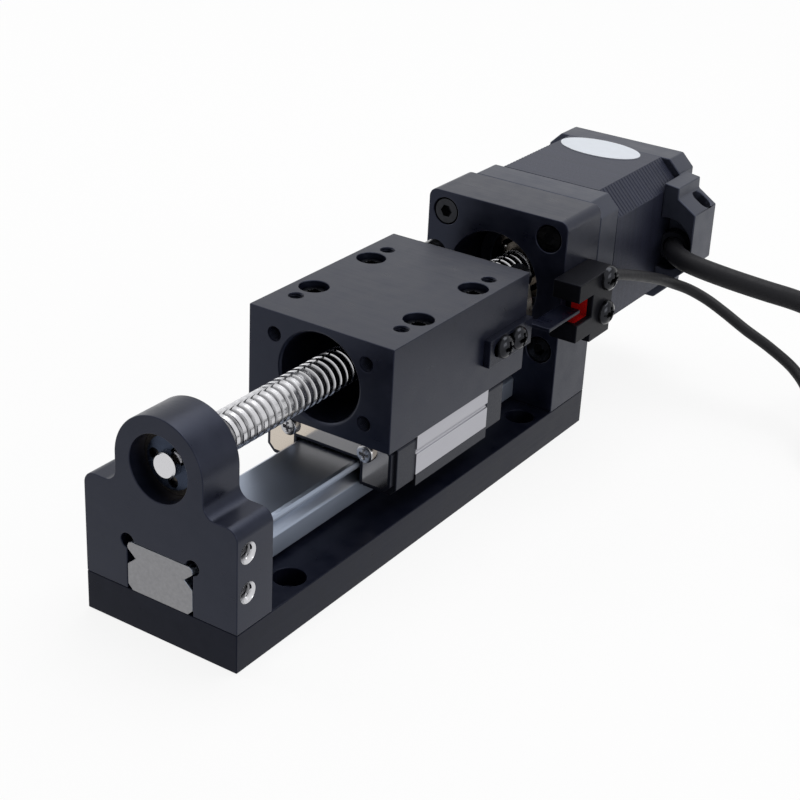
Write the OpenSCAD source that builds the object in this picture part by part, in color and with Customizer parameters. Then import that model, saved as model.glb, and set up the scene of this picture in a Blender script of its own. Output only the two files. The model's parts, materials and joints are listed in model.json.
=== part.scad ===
// Ball screw linear module: a base with a profiled rail and a guide carriage, a moving block driven by a
// ball screw that is the motor's own shaft, a front bearing block, a motor mount block, a square stepping
// motor and a slotted photo sensor with its flag.
// X is across the base (the sensor is on +X), Y runs along the screw towards the motor, Z is up.
// The origin is the middle of the base's underside.

/* [Base] */
// Width of the base plate and of the two end blocks
base_w = 35; // [34:0.5:40]
// Length of the base plate
base_l = 126; // [120:1:180]
// Thickness of the base plate
base_t = 8; // [7:0.5:12]
// Distance between the mounting holes across the base
base_hole_x = 26; // [25:0.5:27]
// Distance between the mounting holes along the base
base_hole_y = 84; // [70:1:85]

/* [Rail and guide carriage] */
// Width of the rail
rail_w = 15; // [14:0.5:16]
// Height of the rail
rail_h = 10; // [9.5:0.5:10.5]
// Distance between the rail's screws
rail_pitch = 30; // [24:1:33]
// Width of the guide carriage
guide_w = 32; // [31:0.5:33]
// Height of the carriage's top above the base
guide_h = 16; // [15.5:0.5:18]
// Length of the carriage over its end seals
guide_l = 42.1; // [40:0.1:46]
// Length of the carriage's steel body
guide_steel_l = 26.7; // [25:0.1:28]
// Gap between the base and the carriage's lower edge
guide_gap = 4; // [3.5:0.5:5]
// Distance between the carriage's bolts across the rail
guide_bolt_x = 25; // [24.5:0.5:25.5]
// Distance between the carriage's bolts along the rail
guide_bolt_y = 20; // [18:0.5:21]
// Place of the carriage's middle along the base
slide_y = 8.5; // [0:0.5:10]

/* [Moving block] */
// Width of the moving block
block_w = 34; // [33:0.5:36]
// Length of the moving block
block_l = 50; // [50:1:56]
// Height of the moving block
block_h = 22; // [21:0.5:24]
// Distance between the top tapped holes along the block
top_tap_y = 32; // [30:0.5:32]

/* [Ball screw] */
// Height of the screw's axis above the base
screw_h = 27; // [26.5:0.5:28]
// Outer diameter of the thread
screw_d = 8; // [7.5:0.1:8.4]
// Advance of one turn of the thread
screw_lead = 2; // [2:0.5:3]
// Depth of the ball groove
groove_depth = 0.4; // [0.3:0.05:0.5]
// Outer diameter of the nut's body
nut_d = 18; // [17:0.5:18]
// Length of the nut's body inside the block
nut_l = 24; // [20:1:30]
// Diameter of the nut's flange
flange_d = 32; // [31:0.5:33]
// Thickness of the nut's flange
flange_t = 4.5; // [4:0.5:5]
// Height of the flange between its flats
flange_flat = 18; // [18:0.5:21]
// Diameter of the circle through the nut's screws
nut_pcd = 25; // [24.5:0.5:26]
// Angle of the nut's screws above the horizontal
nut_hole_angle = 30; // [28:1:32]

/* [Bearing and motor mount blocks] */
// Thickness of the front bearing block
front_t = 10; // [9.5:0.5:14]
// Radius of the front block's arch
arch_r = 10; // [9.5:0.5:11]
// Height of the front block's shoulders above the base
shoulder_h = 21; // [19:0.5:22]
// Radius of the shoulders' corners and fillets
shoulder_r = 2.5; // [1.5:0.5:3]
// Thickness of the motor mount block
mount_t = 15; // [15:0.5:18]
// Radius of the motor mount block's top corners
mount_r = 2; // [1:0.5:2.5]
// Bore of the journal bearing
journal_d = 5; // [5:0.1:5.2]
// Outer diameter of the journal bearing
journal_od = 13; // [12.5:0.5:13.5]
// Width of the journal bearing
journal_t = 4; // [3.5:0.5:4.5]

/* [Motor] */
// Side of the motor's square body
motor_w = 35.2; // [35:0.1:36]
// Length of the motor's front bell
bell_front_l = 8.4; // [8:0.2:10]
// Length of the stator stack
stack_l = 31.1; // [26.1:0.5:36.1]
// Length of the rear bell
bell_rear_l = 7.5; // [7.5:0.5:10]
// Distance between the motor's mounting screws
motor_hole = 26; // [25.6:0.2:26.4]
// Diameter of the motor's pilot boss
pilot_d = 22; // [21:0.5:22.4]
// Diameter of the motor cable
motor_cable_d = 4.8; // [4:0.1:5]

/* [Sensor] */
// Thickness of the sensor away from its mounting face
sensor_t = 6.5; // [6:0.1:7.5]
// Height of the sensor's upper face above the base
sensor_top = 33.5; // [33:0.1:34]
// Height of the sensor's slot
slot_h = 5.1; // [4.8:0.1:5.4]
// Depth of the sensor's slot
slot_l = 6.5; // [6:0.1:7]
// Distance between the sensor's screws
sensor_pitch = 8; // [7.5:0.1:8.2]
// Diameter of the sensor cable
sensor_cable_d = 2.6; // [2.2:0.1:2.8]
// Thickness of the flag's sheet
flag_t = 1.5; // [1:0.1:1.6]

/* [Hidden] */
$fn = 48;
// Named clearances
slide_gap = 0.3;
fit_gap = 0.1;
seat_gap = 0.05;
screw_gap = 0.2;
ball_gap = 0.08;
cut = 1;
// Small screws: thread, clearance hole, head, counterbore and tapped holes
m3_r = 1.45;
m3_hole_r = 1.7;
m3_tap_r = 1.5;
nut_tap_r = 1.48;
m3_head_r = 2.75;
m3_head_h = 3;
m3_bore_r = 3.1;
m3_key_r = 1.45;
m3_key_depth = 1.6;
m2_r = 0.95;
m2_tap_r = 1;
m2_hole_r = 1.15;
m4_tap_r = 1.65;
m4_mouth_r = 2.1;
pan_r = 2.75;
pan_h = 2;
tap_spare = 0.8;

// Base and rail
base_front = -base_l / 2;
base_back = base_l / 2;
base_x = base_w / 2;
base_head_r = 3.2;
base_head_h = 4;
under_head_h = 3.6;
rail_x = rail_w / 2;
rail_top = base_t + rail_h;
rail_back = base_back - mount_t;
rail_groove_z = rail_top - 3.1;
rail_groove_depth = 1.9;
rail_groove_half = 1.3;
rail_lip = 0.35;
rail_edge = 0.9;
rail_foot = 1.1;
rail_count = 4;
rail_mid = (base_front + rail_back) / 2;
rail_ys = [for (i = [0:rail_count - 1]) rail_mid + rail_pitch * (i - (rail_count - 1) / 2)];
rail_grip = 6;

// Guide carriage and its ends
guide_top = base_t + guide_h;
guide_low = base_t + guide_gap;
guide_x = guide_w / 2;
steel_y0 = slide_y - guide_steel_l / 2;
steel_y1 = slide_y + guide_steel_l / 2;
strip_h = 2.4;
seal_t = 1.2;
cap_y0 = slide_y - guide_l / 2 + seal_t;
cap_y1 = slide_y + guide_l / 2 - seal_t;
cap_inset = 0.3;
cap_chamfer = 1.5;
seal_inset = 1;
end_screw_x = 9.3;
end_screw_z = rail_top + 2.4;
end_screw_grip = 3;
end_head_r = 1.9;
end_head_h = 1.2;
side_line_r = 0.5;
side_line_z = guide_top - 4.5;
return_x = guide_x - 3.6;
return_z = guide_low + 4.9;
return_r = 1.5;
guide_ball_r = 1.3;
guide_ball_n = 8;
guide_ball_pitch = 3.1;
guide_ball_rise = norm([rail_groove_depth, rail_groove_half]) / rail_groove_half;
guide_ball_x = rail_x - rail_groove_depth + (guide_ball_r + fit_gap) * guide_ball_rise;

// Moving block
block_x = block_w / 2;
block_y0 = slide_y - block_l / 2;
block_y1 = slide_y + block_l / 2;
block_top = guide_top + block_h;
block_head_h = 4.2;
bolt_grip = 4.5;
top_tap_depth = 6;
face_tap_depth = 7;
bore_chamfer = 0.5;

// Screw, nut and front bearing
axis_z = base_t + screw_h;
screw_r = screw_d / 2;
journal_r = journal_d / 2;
front_back = base_front + front_t;
front_lip = 2;
lip_r = 5.25;
journal_bearing_r = journal_od / 2;
bearing_y1 = front_back - front_lip;
bearing_y0 = bearing_y1 - journal_t;
clip_t = 0.6;
clip_r = 5.2;
clip_y = bearing_y0 - clip_t - screw_gap;
clip_groove_r = journal_r - 0.5;
screw_end = base_front + 1.4;
thread_y0 = bearing_y1 + 0.2;
thread_past = 10;
thread_y1 = rail_back + thread_past;
collar_l = 2.4;
crest_r = screw_r - 0.02;
thread_columns = 16;
// Thread over one lead: each place along it as a share of the lead, with its depth as a share of the groove's
thread_profile = [[0, 0], [0.475, 0], [0.61, 1], [0.865, 1]];
groove_middle = 0.7375;
nut_r = nut_d / 2;
nut_y0 = block_y1 - nut_l;
nut_y1 = block_y1 + flange_t;
nut_bore_r = screw_r + slide_gap;
nut_ball_r = 0.5;
nut_ball_path = crest_r - groove_depth + nut_ball_r + seat_gap;
nut_chamber_r = nut_ball_path + nut_ball_r + fit_gap;
nut_ball_n = 36;
nut_ball_step = 30;
nut_ball_turns = nut_ball_n * nut_ball_step / 360;
nut_chamber_l = (nut_ball_turns + 1) * screw_lead + 2 * (nut_ball_r + slide_gap);
wiper_t = 1.5;
wiper_r = screw_r + 0.08;
wiper_seat_r = 6;
nut_hole_x = nut_pcd / 2 * cos(nut_hole_angle);
nut_hole_z = nut_pcd / 2 * sin(nut_hole_angle);
nut_grip = 5.5;

// Front bearing block
shoulder_z = base_t + shoulder_h;
dogbone_r = 1.5;
front_screw_x = 12.5;
front_screw_y = front_back - 3.2;
front_grip = 6;
side_tap_y = base_front + 3;
side_tap_z = base_t + 7.5;
side_tap_pitch = 8;
side_tap_depth = 7;

// Motor
motor_x = motor_w / 2;
motor_top = axis_z + motor_x;
motor_chamfer = 3;
stack_chamfer = 5.4;
bell_y1 = base_back + bell_front_l;
stack_y1 = bell_y1 + stack_l;
motor_back = stack_y1 + bell_rear_l;
pilot_h = 2;
mount_bore_r = pilot_d / 2 + screw_gap;
mount_screw_l = 16;
mount_head_h = 3.2;
mount_screw_xs = 11;
mount_screw_inset = 4;
mount_screw_ys = [rail_back + mount_screw_inset, base_back - mount_screw_inset];
drive_r = 8;
drive_t = 5;
drive_y0 = base_back - pilot_h;
drive_y1 = drive_y0 + drive_t;
bell_wall = 3;
winding_room_r = 15.4;
winding_room = 2.4;
rear_bearing_y1 = motor_back - 2.2;
rear_bearing_y0 = rear_bearing_y1 - journal_t;
rear_boss_r = 8.5;
spring_t = 0.5;
stator_r = 11.2;
slot_r = 15.2;
rotor_r = stator_r - slide_gap;
poles = 8;
tooth_w = 4.4;
coil_over = 2;
coil_w = 1.5;
coil_r0 = 12.3;
coil_r1 = 14.6;
rotor_y0 = bell_y1 + 2;
rotor_y1 = stack_y1 - 2;
magnet_t = 3;
body_head_h = 2.6;
body_head_r = 2.9;
bell_grip_y = base_back + 5.5;

// Cable lug on the motor's side: its outline from the motor's side face and the axis
lug_outline = [[0, 14.5], [3.8, 14], [3.9, 11.4], [8.6, 8.4], [8.7, -4.7], [4.9, -8.5], [0, -9]];
lug_y0 = stack_y1 - 8;
lug_y1 = stack_y1 + 3.5;
lug_recess_r = 6.3;
lug_recess_x = motor_x + 1.9;
lug_recess = 5;
gland_x = motor_x + 2.7;
gland_z = axis_z - 1.4;
gland_r = 3.6;
gland_y0 = lug_y0 + 2.5;
gland_y1 = lug_y0 + 9;
pocket_r = 1.9;
pocket_l = 1.5;
pocket_depth = 2.6;
pocket_y = lug_y1 - 3.4;
label_a = 10.2;
label_b = 6;
label_t = 0.12;
label_x = -1.7;
label_y = stack_y1 - 4.2;

// Sensor and its flag
sensor_x1 = base_x + sensor_t;
sensor_z1 = base_t + sensor_top;
jaw_h = 4.1;
slot_z1 = sensor_z1 - jaw_h;
slot_z0 = slot_z1 - slot_h;
sensor_z0 = slot_z0 - jaw_h;
sensor_foot = 1.9;
sensor_ahead = 4.5;
sensor_behind = 11;
sensor_screw_behind = 8;
sensor_y0 = rail_back - sensor_ahead;
slot_back = sensor_y0 + slot_l;
sensor_y1 = rail_back + sensor_behind;
sensor_screw_y = rail_back + sensor_screw_behind;
sensor_screw_z = sensor_z1 - 1.9;
sensor_grip = 5.5;
window_x = base_x + 1.4;
window_w = 3.7;
window_y = sensor_y0 + 1.3;
window_t = 0.7;
sensor_cable_x = base_x + 4;
sensor_cable_z = sensor_z1 - 3.3;
sensor_cable_in = 1.1;
sleeve_r = 1.9;
sleeve_l = 1.6;
flag_l = 16.9;
flag_over = 0.2;
flag_y1 = block_y1 + flag_over;
flag_y0 = flag_y1 - flag_l;
flag_z = slot_z0 + 1.1;
flag_half = 3;
flag_slot_start = 3.4;
flag_slot_l = 9.1;
flag_slot_y0 = flag_y0 + flag_slot_start;
flag_slot_y1 = flag_slot_y0 + flag_slot_l;
flag_screw_back = 6.2;
flag_screw_pitch = 5.7;
flag_screw_ys = [flag_y1 - flag_screw_back - flag_screw_pitch, flag_y1 - flag_screw_back];
flag_screw_z = flag_z + 0.4;
flag_pan_r = 2.5;
flag_grip = 4.5;
tongue_t = 0.8;
tongue_z = flag_z + 0.6;
tongue_x = block_x + 5.8;
tongue_side = base_x + 0.5;
tongue_y = slot_back - 3.3;
tongue_step = block_y1 + 2.5;
tongue_root = flag_y1 - 1.5;
tongue_front = flag_y1 - 0.3;

// Route of the motor cable from its gland to its coil, and from the coil to its plug
motor_route = [
    [20.3, 102, 33.6], [20.3, 100.1, 33.6], [21.1, 96.3, 33.6], [23.2, 93.1, 33.6], [26.4, 90.9, 33.5],
    [30.3, 90.1, 33.2], [35.2, 90.5, 32.5], [40.5, 91.6, 31.6], [46.5, 93.6, 30.4], [52, 96.1, 29.1],
    [56.7, 99.3, 27], [60.1, 103.5, 23.7], [62.1, 108, 19.4], [63.4, 112.4, 14.6], [65.3, 116.7, 9.9],
    [68.4, 120.4, 6], [72.8, 123.2, 3.4], [78.4, 124.4, 2.4], [85.5, 124.5, 2.4], [93, 124.5, 2.4]
];
motor_tail = [
    [120.5, 97, 12], [119.3, 90.9, 12], [115.8, 85.7, 11.6], [110.6, 82.2, 10.3], [104.5, 81, 8.4],
    [98.4, 82.2, 6.3], [93.2, 85.7, 4.4], [89.7, 90.9, 2.9], [88.5, 97, 2.4]
];
motor_coil = [93, 97];
motor_coil_r = 27.5;
motor_coil_rows = 3;
motor_plug_w = 12;
motor_plug_h = 6.4;
motor_plug_l = 15;
// Route of the sensor cable from the sensor to its coil, and from the coil to its plug
sensor_route = [
    [21.5, 58, 38.2], [21.6, 63, 37.5], [21.9, 68, 36], [22.2, 74, 34], [22.6, 80, 31.8], [23.4, 86.5, 29.3],
    [24.8, 91, 27.2], [27.5, 94, 25.5], [31.5, 95.3, 23.7], [36, 95.5, 21.7], [42, 95.4, 18.9],
    [48.5, 95.2, 16.3], [55.5, 93.6, 13.5], [60.9, 89.8, 10.8], [63.9, 84.6, 8.2], [66.6, 79.4, 5.8],
    [70, 74.8, 3.8], [75.5, 70.6, 2.2], [82, 67.4, 1.4], [89, 65.6, 1.3], [97, 65, 1.3], [105, 65, 1.3]
];
sensor_tail = [
    [122.3, 35, 3.9], [120, 31.1, 3.9], [117.8, 27.2, 3.9], [115.4, 23.5, 3.2], [112.2, 20.5, 2.2],
    [108, 18.8, 1.5], [103.5, 18.3, 1.3]
];
sensor_coil = [105, 45];
sensor_coil_r0 = 7;
sensor_coil_r1 = 20;
sensor_coil_rows = 2;
sensor_plug_w = 8;
sensor_plug_h = 4.6;
sensor_plug_l = 11;
plug_grip = 3;
socket_l = 4;

// A box between two corners
module span(x0, x1, y0, y1, z0, z1) {
    translate([x0, y0, z0]) cube([x1 - x0, y1 - y0, z1 - z0]);
}

// A round bar along Y, along X and along Z
module rod_y(r, y0, y1, x = 0, z = axis_z) {
    translate([x, y0, z]) rotate([-90, 0, 0]) cylinder(r = r, h = y1 - y0);
}

module rod_x(r, x0, x1, y, z) {
    translate([x0, y, z]) rotate([0, 90, 0]) cylinder(r = r, h = x1 - x0);
}

module rod_z(r, z0, z1, x, y) {
    translate([x, y, z0]) cylinder(r = r, h = z1 - z0);
}

// Children drawn in X and Z, drawn out along Y
module along_y(y0, y1) {
    translate([0, y1, 0]) rotate([90, 0, 0]) linear_extrude(y1 - y0) children();
}

// Children drawn in Y and Z, drawn out along X
module along_x(x0, x1) {
    translate([x0, 0, 0]) rotate([90, 0, 90]) linear_extrude(x1 - x0) children();
}

// Children at each corner of a rectangle
module corners(x, y) {
    for (i = [-1, 1], j = [-1, 1]) translate([i * x, j * y]) children();
}

// A socket head screw along Z, its seat at z = 0 and its thread below
module socket_screw(shank) {
    difference() {
        union() {
            cylinder(r = m3_head_r, h = m3_head_h);
            translate([0, 0, -shank]) cylinder(r = m3_r, h = shank + seat_gap);
        }
        translate([0, 0, m3_head_h - m3_key_depth]) cylinder(r = m3_key_r, h = m3_key_depth + cut, $fn = 6);
    }
}

// A pan head screw along Z with a cross recess
module pan_screw(shank, thread_r, head_r, head_h) {
    recess = head_r * 0.55;
    slot = head_r * 0.2;
    difference() {
        union() {
            cylinder(r = head_r, h = head_h * 0.45);
            translate([0, 0, head_h * 0.45]) cylinder(r1 = head_r, r2 = head_r * 0.7, h = head_h * 0.55);
            translate([0, 0, -shank]) cylinder(r = thread_r, h = shank + seat_gap);
        }
        for (a = [0, 90]) rotate(a) translate([-recess, -slot, head_h * 0.4])
            cube([2 * recess, 2 * slot, head_h]);
    }
}

// A ball bearing's ring along Y, with its ball groove
module bearing_ring(r0, r1, y0, width, path, ball) {
    translate([0, y0, axis_z]) rotate([-90, 0, 0]) rotate_extrude() difference() {
        translate([r0, 0]) square([r1 - r0, width]);
        translate([path, width / 2]) circle(ball + ball_gap);
    }
}

module bearing_balls(y, path, ball, count) {
    for (i = [0:count - 1]) translate([0, y, axis_z]) rotate([0, 360 * i / count, 0]) translate([path, 0, 0])
        sphere(ball);
}

// A tube along a list of points
function unit(v) = v / norm(v);
function heading(p, i) = unit(p[min(i + 1, len(p) - 1)] - p[max(i - 1, 0)]);
function ring_at(p, i, r, n) =
    let(side = unit(cross(heading(p, i), [0, 0, 1])), rise = cross(side, heading(p, i)))
    [for (k = [0:n - 1]) p[i] + r * (side * cos(360 * k / n) + rise * sin(360 * k / n))];

module tube(p, r, n) {
    last = len(p) - 1;
    polyhedron(
        points = [for (i = [0:last]) each ring_at(p, i, r, n)],
        faces = concat(
            [[for (k = [n - 1:-1:0]) k]],
            [for (i = [0:last - 1], k = [0:n - 1]) let(m = (k + 1) % n)
                [i * n + k, i * n + m, (i + 1) * n + m, (i + 1) * n + k]],
            [[for (k = [0:n - 1]) last * n + k]]
        )
    );
}

// A right-hand ball thread along Y as one closed skin whose rows of points follow the helix
module thread(y0, y1) {
    per_turn = len(thread_profile);
    columns = thread_columns;
    last = floor((y1 - y0) / screw_lead - 1) * per_turn;
    tip = (last + 1) * columns + per_turn;
    function at(r, j) =
        let(shape = thread_profile[r % per_turn], a = 360 * j / columns)
        let(radius = crest_r - shape[1] * groove_depth)
        [radius * sin(a), y0 + screw_lead * (floor(r / per_turn) + shape[0] + j / columns), radius * cos(a)];
    function row(r, j) = r <= last ? r * columns + j : (last + 1) * columns + r - last - 1;
    function place(r, j) = j == columns ? row(r + per_turn, 0) : row(r, j);
    translate([0, 0, axis_z]) polyhedron(
        points = concat(
            [for (r = [0:last], j = [0:columns - 1]) at(r, j)],
            [for (r = [last + 1:last + per_turn]) at(r, 0)],
            [[0, y0, 0], [0, y0 + screw_lead * (last / per_turn + 1), 0]]
        ),
        faces = concat(
            [for (r = [0:last - 1], j = [0:columns - 1])
                [place(r, j), place(r + 1, j), place(r + 1, j + 1), place(r, j + 1)]],
            [for (j = [0:columns - 1]) [tip, place(0, j), place(0, j + 1)]],
            [for (r = [0:per_turn - 1]) [tip, row(r + 1, 0), row(r, 0)]],
            [for (j = [0:columns - 1]) [tip + 1, place(last, j + 1), place(last, j)]],
            [for (r = [last:last + per_turn - 1]) [tip + 1, row(r, 0), row(r + 1, 0)]]
        )
    );
}

// Base plate with its own mounting holes and the counterbores for the screws from below
module base_plate() color([0.27, 0.28, 0.32]) difference() {
    span(-base_x, base_x, base_front, base_back, 0, base_t);
    corners(base_hole_x / 2, base_hole_y / 2) {
        rod_z(m3_hole_r, -cut, base_t + cut, 0, 0);
        rod_z(base_head_r, base_t - base_head_h, base_t + cut, 0, 0);
    }
    for (y = rail_ys) under_hole(0, y);
    for (x = [-1, 1]) {
        under_hole(x * front_screw_x, front_screw_y);
        for (y = mount_screw_ys) under_hole(x * mount_screw_xs, y);
    }
}

module under_hole(x, y) {
    rod_z(m3_hole_r, -cut, base_t + cut, x, y);
    rod_z(m3_bore_r, -cut, under_head_h, x, y);
}

// A screw put in from below, its head in the base's counterbore
module under_screw(x, y, grip) {
    translate([x, y, under_head_h]) mirror([0, 0, 1]) socket_screw(base_t - under_head_h + grip);
}

module linear_rail() color([0.72, 0.72, 0.74]) difference() {
    along_y(base_front, rail_back) for (side = [0, 1]) mirror([side, 0]) polygon([
        [-cut, base_t], [rail_x - rail_foot, base_t], [rail_x, base_t + rail_foot],
        [rail_x, rail_groove_z - rail_groove_half - rail_lip],
        [rail_x - rail_lip, rail_groove_z - rail_groove_half], [rail_x - rail_groove_depth, rail_groove_z],
        [rail_x - rail_lip, rail_groove_z + rail_groove_half],
        [rail_x, rail_groove_z + rail_groove_half + rail_lip], [rail_x, rail_top - rail_edge],
        [rail_x - rail_edge * 0.3, rail_top - rail_edge * 0.3], [rail_x - rail_edge, rail_top],
        [-cut, rail_top]
    ]);
    for (y = rail_ys) rod_z(m3_tap_r, base_t - cut, base_t + rail_grip + tap_spare, 0, y);
}

module rail_screws() color([0.2, 0.2, 0.22]) for (y = rail_ys) under_screw(0, y, rail_grip);

// Outline of the front block: shoulders, fillets and an arch over the bore
module front_outline() {
    corner = base_x - shoulder_r;
    fillet = arch_r + shoulder_r;
    translate([-base_x, base_t]) square([base_w, shoulder_h - shoulder_r]);
    translate([-corner, base_t]) square([2 * corner, shoulder_h]);
    for (x = [-1, 1]) translate([x * corner, shoulder_z - shoulder_r]) circle(shoulder_r);
    translate([-arch_r, base_t]) square([2 * arch_r, screw_h]);
    translate([0, axis_z]) circle(arch_r);
    difference() {
        translate([-fillet, shoulder_z - cut]) square([2 * fillet, shoulder_r + cut]);
        for (x = [-1, 1]) translate([x * fillet, shoulder_z + shoulder_r]) circle(shoulder_r);
    }
}

module front_block() color([0.14, 0.15, 0.18]) difference() {
    along_y(base_front, front_back) difference() {
        front_outline();
        translate([-rail_x - fit_gap, base_t - cut]) square([rail_w + 2 * fit_gap, rail_h + cut + fit_gap]);
        for (x = [-1, 1]) translate([x * rail_x, rail_top]) circle(dogbone_r);
    }
    rod_y(lip_r, base_front - cut, front_back + cut);
    rod_y(journal_bearing_r + seat_gap, base_front - cut, bearing_y1);
    for (x = [-1, 1])
        rod_z(m3_tap_r, base_t - cut, base_t + front_grip + tap_spare, x * front_screw_x, front_screw_y);
    for (z = [side_tap_z, side_tap_z + side_tap_pitch]) {
        rod_x(m4_tap_r, base_x - side_tap_depth, base_x + cut, side_tap_y, z);
        translate([base_x - m4_mouth_r + m4_tap_r, side_tap_y, z]) rotate([0, 90, 0])
            cylinder(r1 = m4_tap_r, r2 = m4_mouth_r, h = m4_mouth_r - m4_tap_r + 0.01);
    }
}

module front_block_screws() color([0.2, 0.2, 0.22])
    for (x = [-1, 1]) under_screw(x * front_screw_x, front_screw_y, front_grip);

// Journal bearing at the front, its path and balls shared with the motor's rear bearing
journal_path = (journal_r + journal_bearing_r) / 2;
journal_ball_r = 1;
journal_ball_n = 8;
ring_gap = 0.65;

module journal_outer(y0)
    bearing_ring(journal_path + ring_gap, journal_bearing_r, y0, journal_t, journal_path, journal_ball_r);

module journal_inner(y0)
    bearing_ring(journal_r + seat_gap, journal_path - ring_gap, y0, journal_t, journal_path, journal_ball_r);

module front_bearing_outer() color([0.75, 0.7, 0.6]) journal_outer(bearing_y0);

module front_bearing_inner() color([0.75, 0.75, 0.76]) journal_inner(bearing_y0);

module front_bearing_balls() color("silver")
    bearing_balls(bearing_y0 + journal_t / 2, journal_path, journal_ball_r, journal_ball_n);

module front_bearing_shields() color([0.2, 0.2, 0.2]) {
    shield_t = 0.3;
    for (y = [bearing_y0 + fit_gap, bearing_y1 - fit_gap - shield_t]) difference() {
        rod_y(journal_path + ring_gap, y, y + shield_t);
        rod_y(journal_path - ring_gap + screw_gap, y - cut, y + shield_t + cut);
    }
}

// Open retaining clip in the journal's groove, its mouth towards the upper right
module shaft_clip() color([0.25, 0.3, 0.4]) difference() {
    rod_y(clip_r, clip_y, clip_y + clip_t);
    rod_y(clip_groove_r + seat_gap, clip_y - cut, clip_y + clip_t + cut);
    translate([0, 0, axis_z]) rotate([0, -45, 0]) {
        mouth = 2 * clip_groove_r * 0.85;
        span(0, clip_r + cut, clip_y - cut, clip_y + clip_t + cut, -mouth / 2, mouth / 2);
        for (a = [125, 235]) rotate([0, a, 0]) translate([(clip_groove_r + clip_r) / 2, 0, 0])
            rod_y(clip_r * 0.22, clip_y - cut, clip_y + clip_t + cut, 0, 0);
    }
}

// Ball screw with its front journal; behind the thread it is the motor's shaft
module ball_screw() color([0.8, 0.8, 0.82]) union() {
    difference() {
        rod_y(journal_r, screw_end, bearing_y1 + cut);
        difference() {
            rod_y(journal_r + cut, clip_y - seat_gap, clip_y + clip_t + seat_gap);
            rod_y(clip_groove_r, clip_y - cut, clip_y + clip_t + cut);
        }
    }
    rod_y(screw_r, bearing_y1, bearing_y1 + collar_l);
    thread(thread_y0, thread_y1);
    rod_y(screw_r, thread_y1 - screw_lead * 2, rotor_y1);
    rod_y(journal_r, rotor_y1 - cut, rear_bearing_y1);
}

module motor_block() color([0.14, 0.15, 0.18]) difference() {
    along_y(rail_back, base_back) {
        translate([-base_x, base_t]) square([base_w, motor_top - mount_r - base_t]);
        translate([-base_x + mount_r, base_t]) square([base_w - 2 * mount_r, motor_top - base_t]);
        for (x = [-1, 1]) translate([x * (base_x - mount_r), motor_top - mount_r]) circle(mount_r);
    }
    rod_y(mount_bore_r, rail_back - cut, base_back + cut);
    for (x = [-1, 1], z = [-1, 1]) {
        rod_y(m3_hole_r, rail_back - cut, base_back + cut, x * motor_hole / 2, axis_z + z * motor_hole / 2);
        rod_y(m3_bore_r, rail_back - cut, rail_back + mount_head_h, x * motor_hole / 2,
            axis_z + z * motor_hole / 2);
    }
    for (x = [-1, 1], y = mount_screw_ys)
        rod_z(m3_tap_r, base_t - cut, base_t + front_grip + tap_spare, x * mount_screw_xs, y);
    for (z = [sensor_screw_z, sensor_screw_z - sensor_pitch])
        rod_x(m3_tap_r, base_x - sensor_grip - tap_spare, base_x + cut, sensor_screw_y, z);
}

module motor_block_screws() color([0.2, 0.2, 0.22])
    for (x = [-1, 1], y = mount_screw_ys) under_screw(x * mount_screw_xs, y, front_grip);

module motor_mount_screws() color([0.2, 0.2, 0.22])
    for (x = [-1, 1], z = [-1, 1])
        translate([x * motor_hole / 2, rail_back + mount_head_h, axis_z + z * motor_hole / 2])
            rotate([90, 0, 0]) socket_screw(mount_screw_l);

// Square with cut corners about the axis
module motor_square(chamfer) {
    flat = motor_x - chamfer;
    translate([0, axis_z]) polygon([
        [motor_x, -flat], [motor_x, flat], [flat, motor_x], [-flat, motor_x],
        [-motor_x, flat], [-motor_x, -flat], [-flat, -motor_x], [flat, -motor_x]
    ]);
}

module motor_front_bell() color([0.6, 0.6, 0.62]) difference() {
    union() {
        along_y(base_back, bell_y1) motor_square(motor_chamfer);
        rod_y(pilot_d / 2, drive_y0, base_back + cut);
    }
    rod_y(drive_r + seat_gap, drive_y0 - cut, drive_y1);
    rod_y(drive_r - 1.5, drive_y0, bell_y1 + cut);
    rod_y(winding_room_r, drive_y1 + bell_wall, bell_y1 + cut);
    for (x = [-1, 1], z = [-1, 1])
        rod_y(m3_tap_r, base_back - cut, bell_y1 + cut, x * motor_hole / 2, axis_z + z * motor_hole / 2);
}

module motor_stack() color([0.45, 0.46, 0.48]) along_y(bell_y1, stack_y1) difference() {
    motor_square(stack_chamfer);
    difference() {
        translate([0, axis_z]) circle(slot_r);
        for (i = [0:poles - 1]) translate([0, axis_z]) rotate(360 * i / poles)
            translate([0, -tooth_w / 2]) square([slot_r + cut, tooth_w]);
    }
    translate([0, axis_z]) circle(stator_r);
    translate([0, axis_z]) corners(motor_hole / 2, motor_hole / 2) circle(m3_hole_r);
}

// One coil around each tooth
module motor_windings() color([0.72, 0.4, 0.2])
    for (i = [0:poles - 1]) translate([0, 0, axis_z]) rotate([0, 360 * i / poles, 0]) difference() {
        side = tooth_w / 2 + fit_gap;
        span(coil_r0, coil_r1, bell_y1 - coil_over, stack_y1 + coil_over, -side - coil_w, side + coil_w);
        span(coil_r0 - cut, coil_r1 + cut, bell_y1 - fit_gap, stack_y1 + fit_gap, -side, side);
    }

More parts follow.
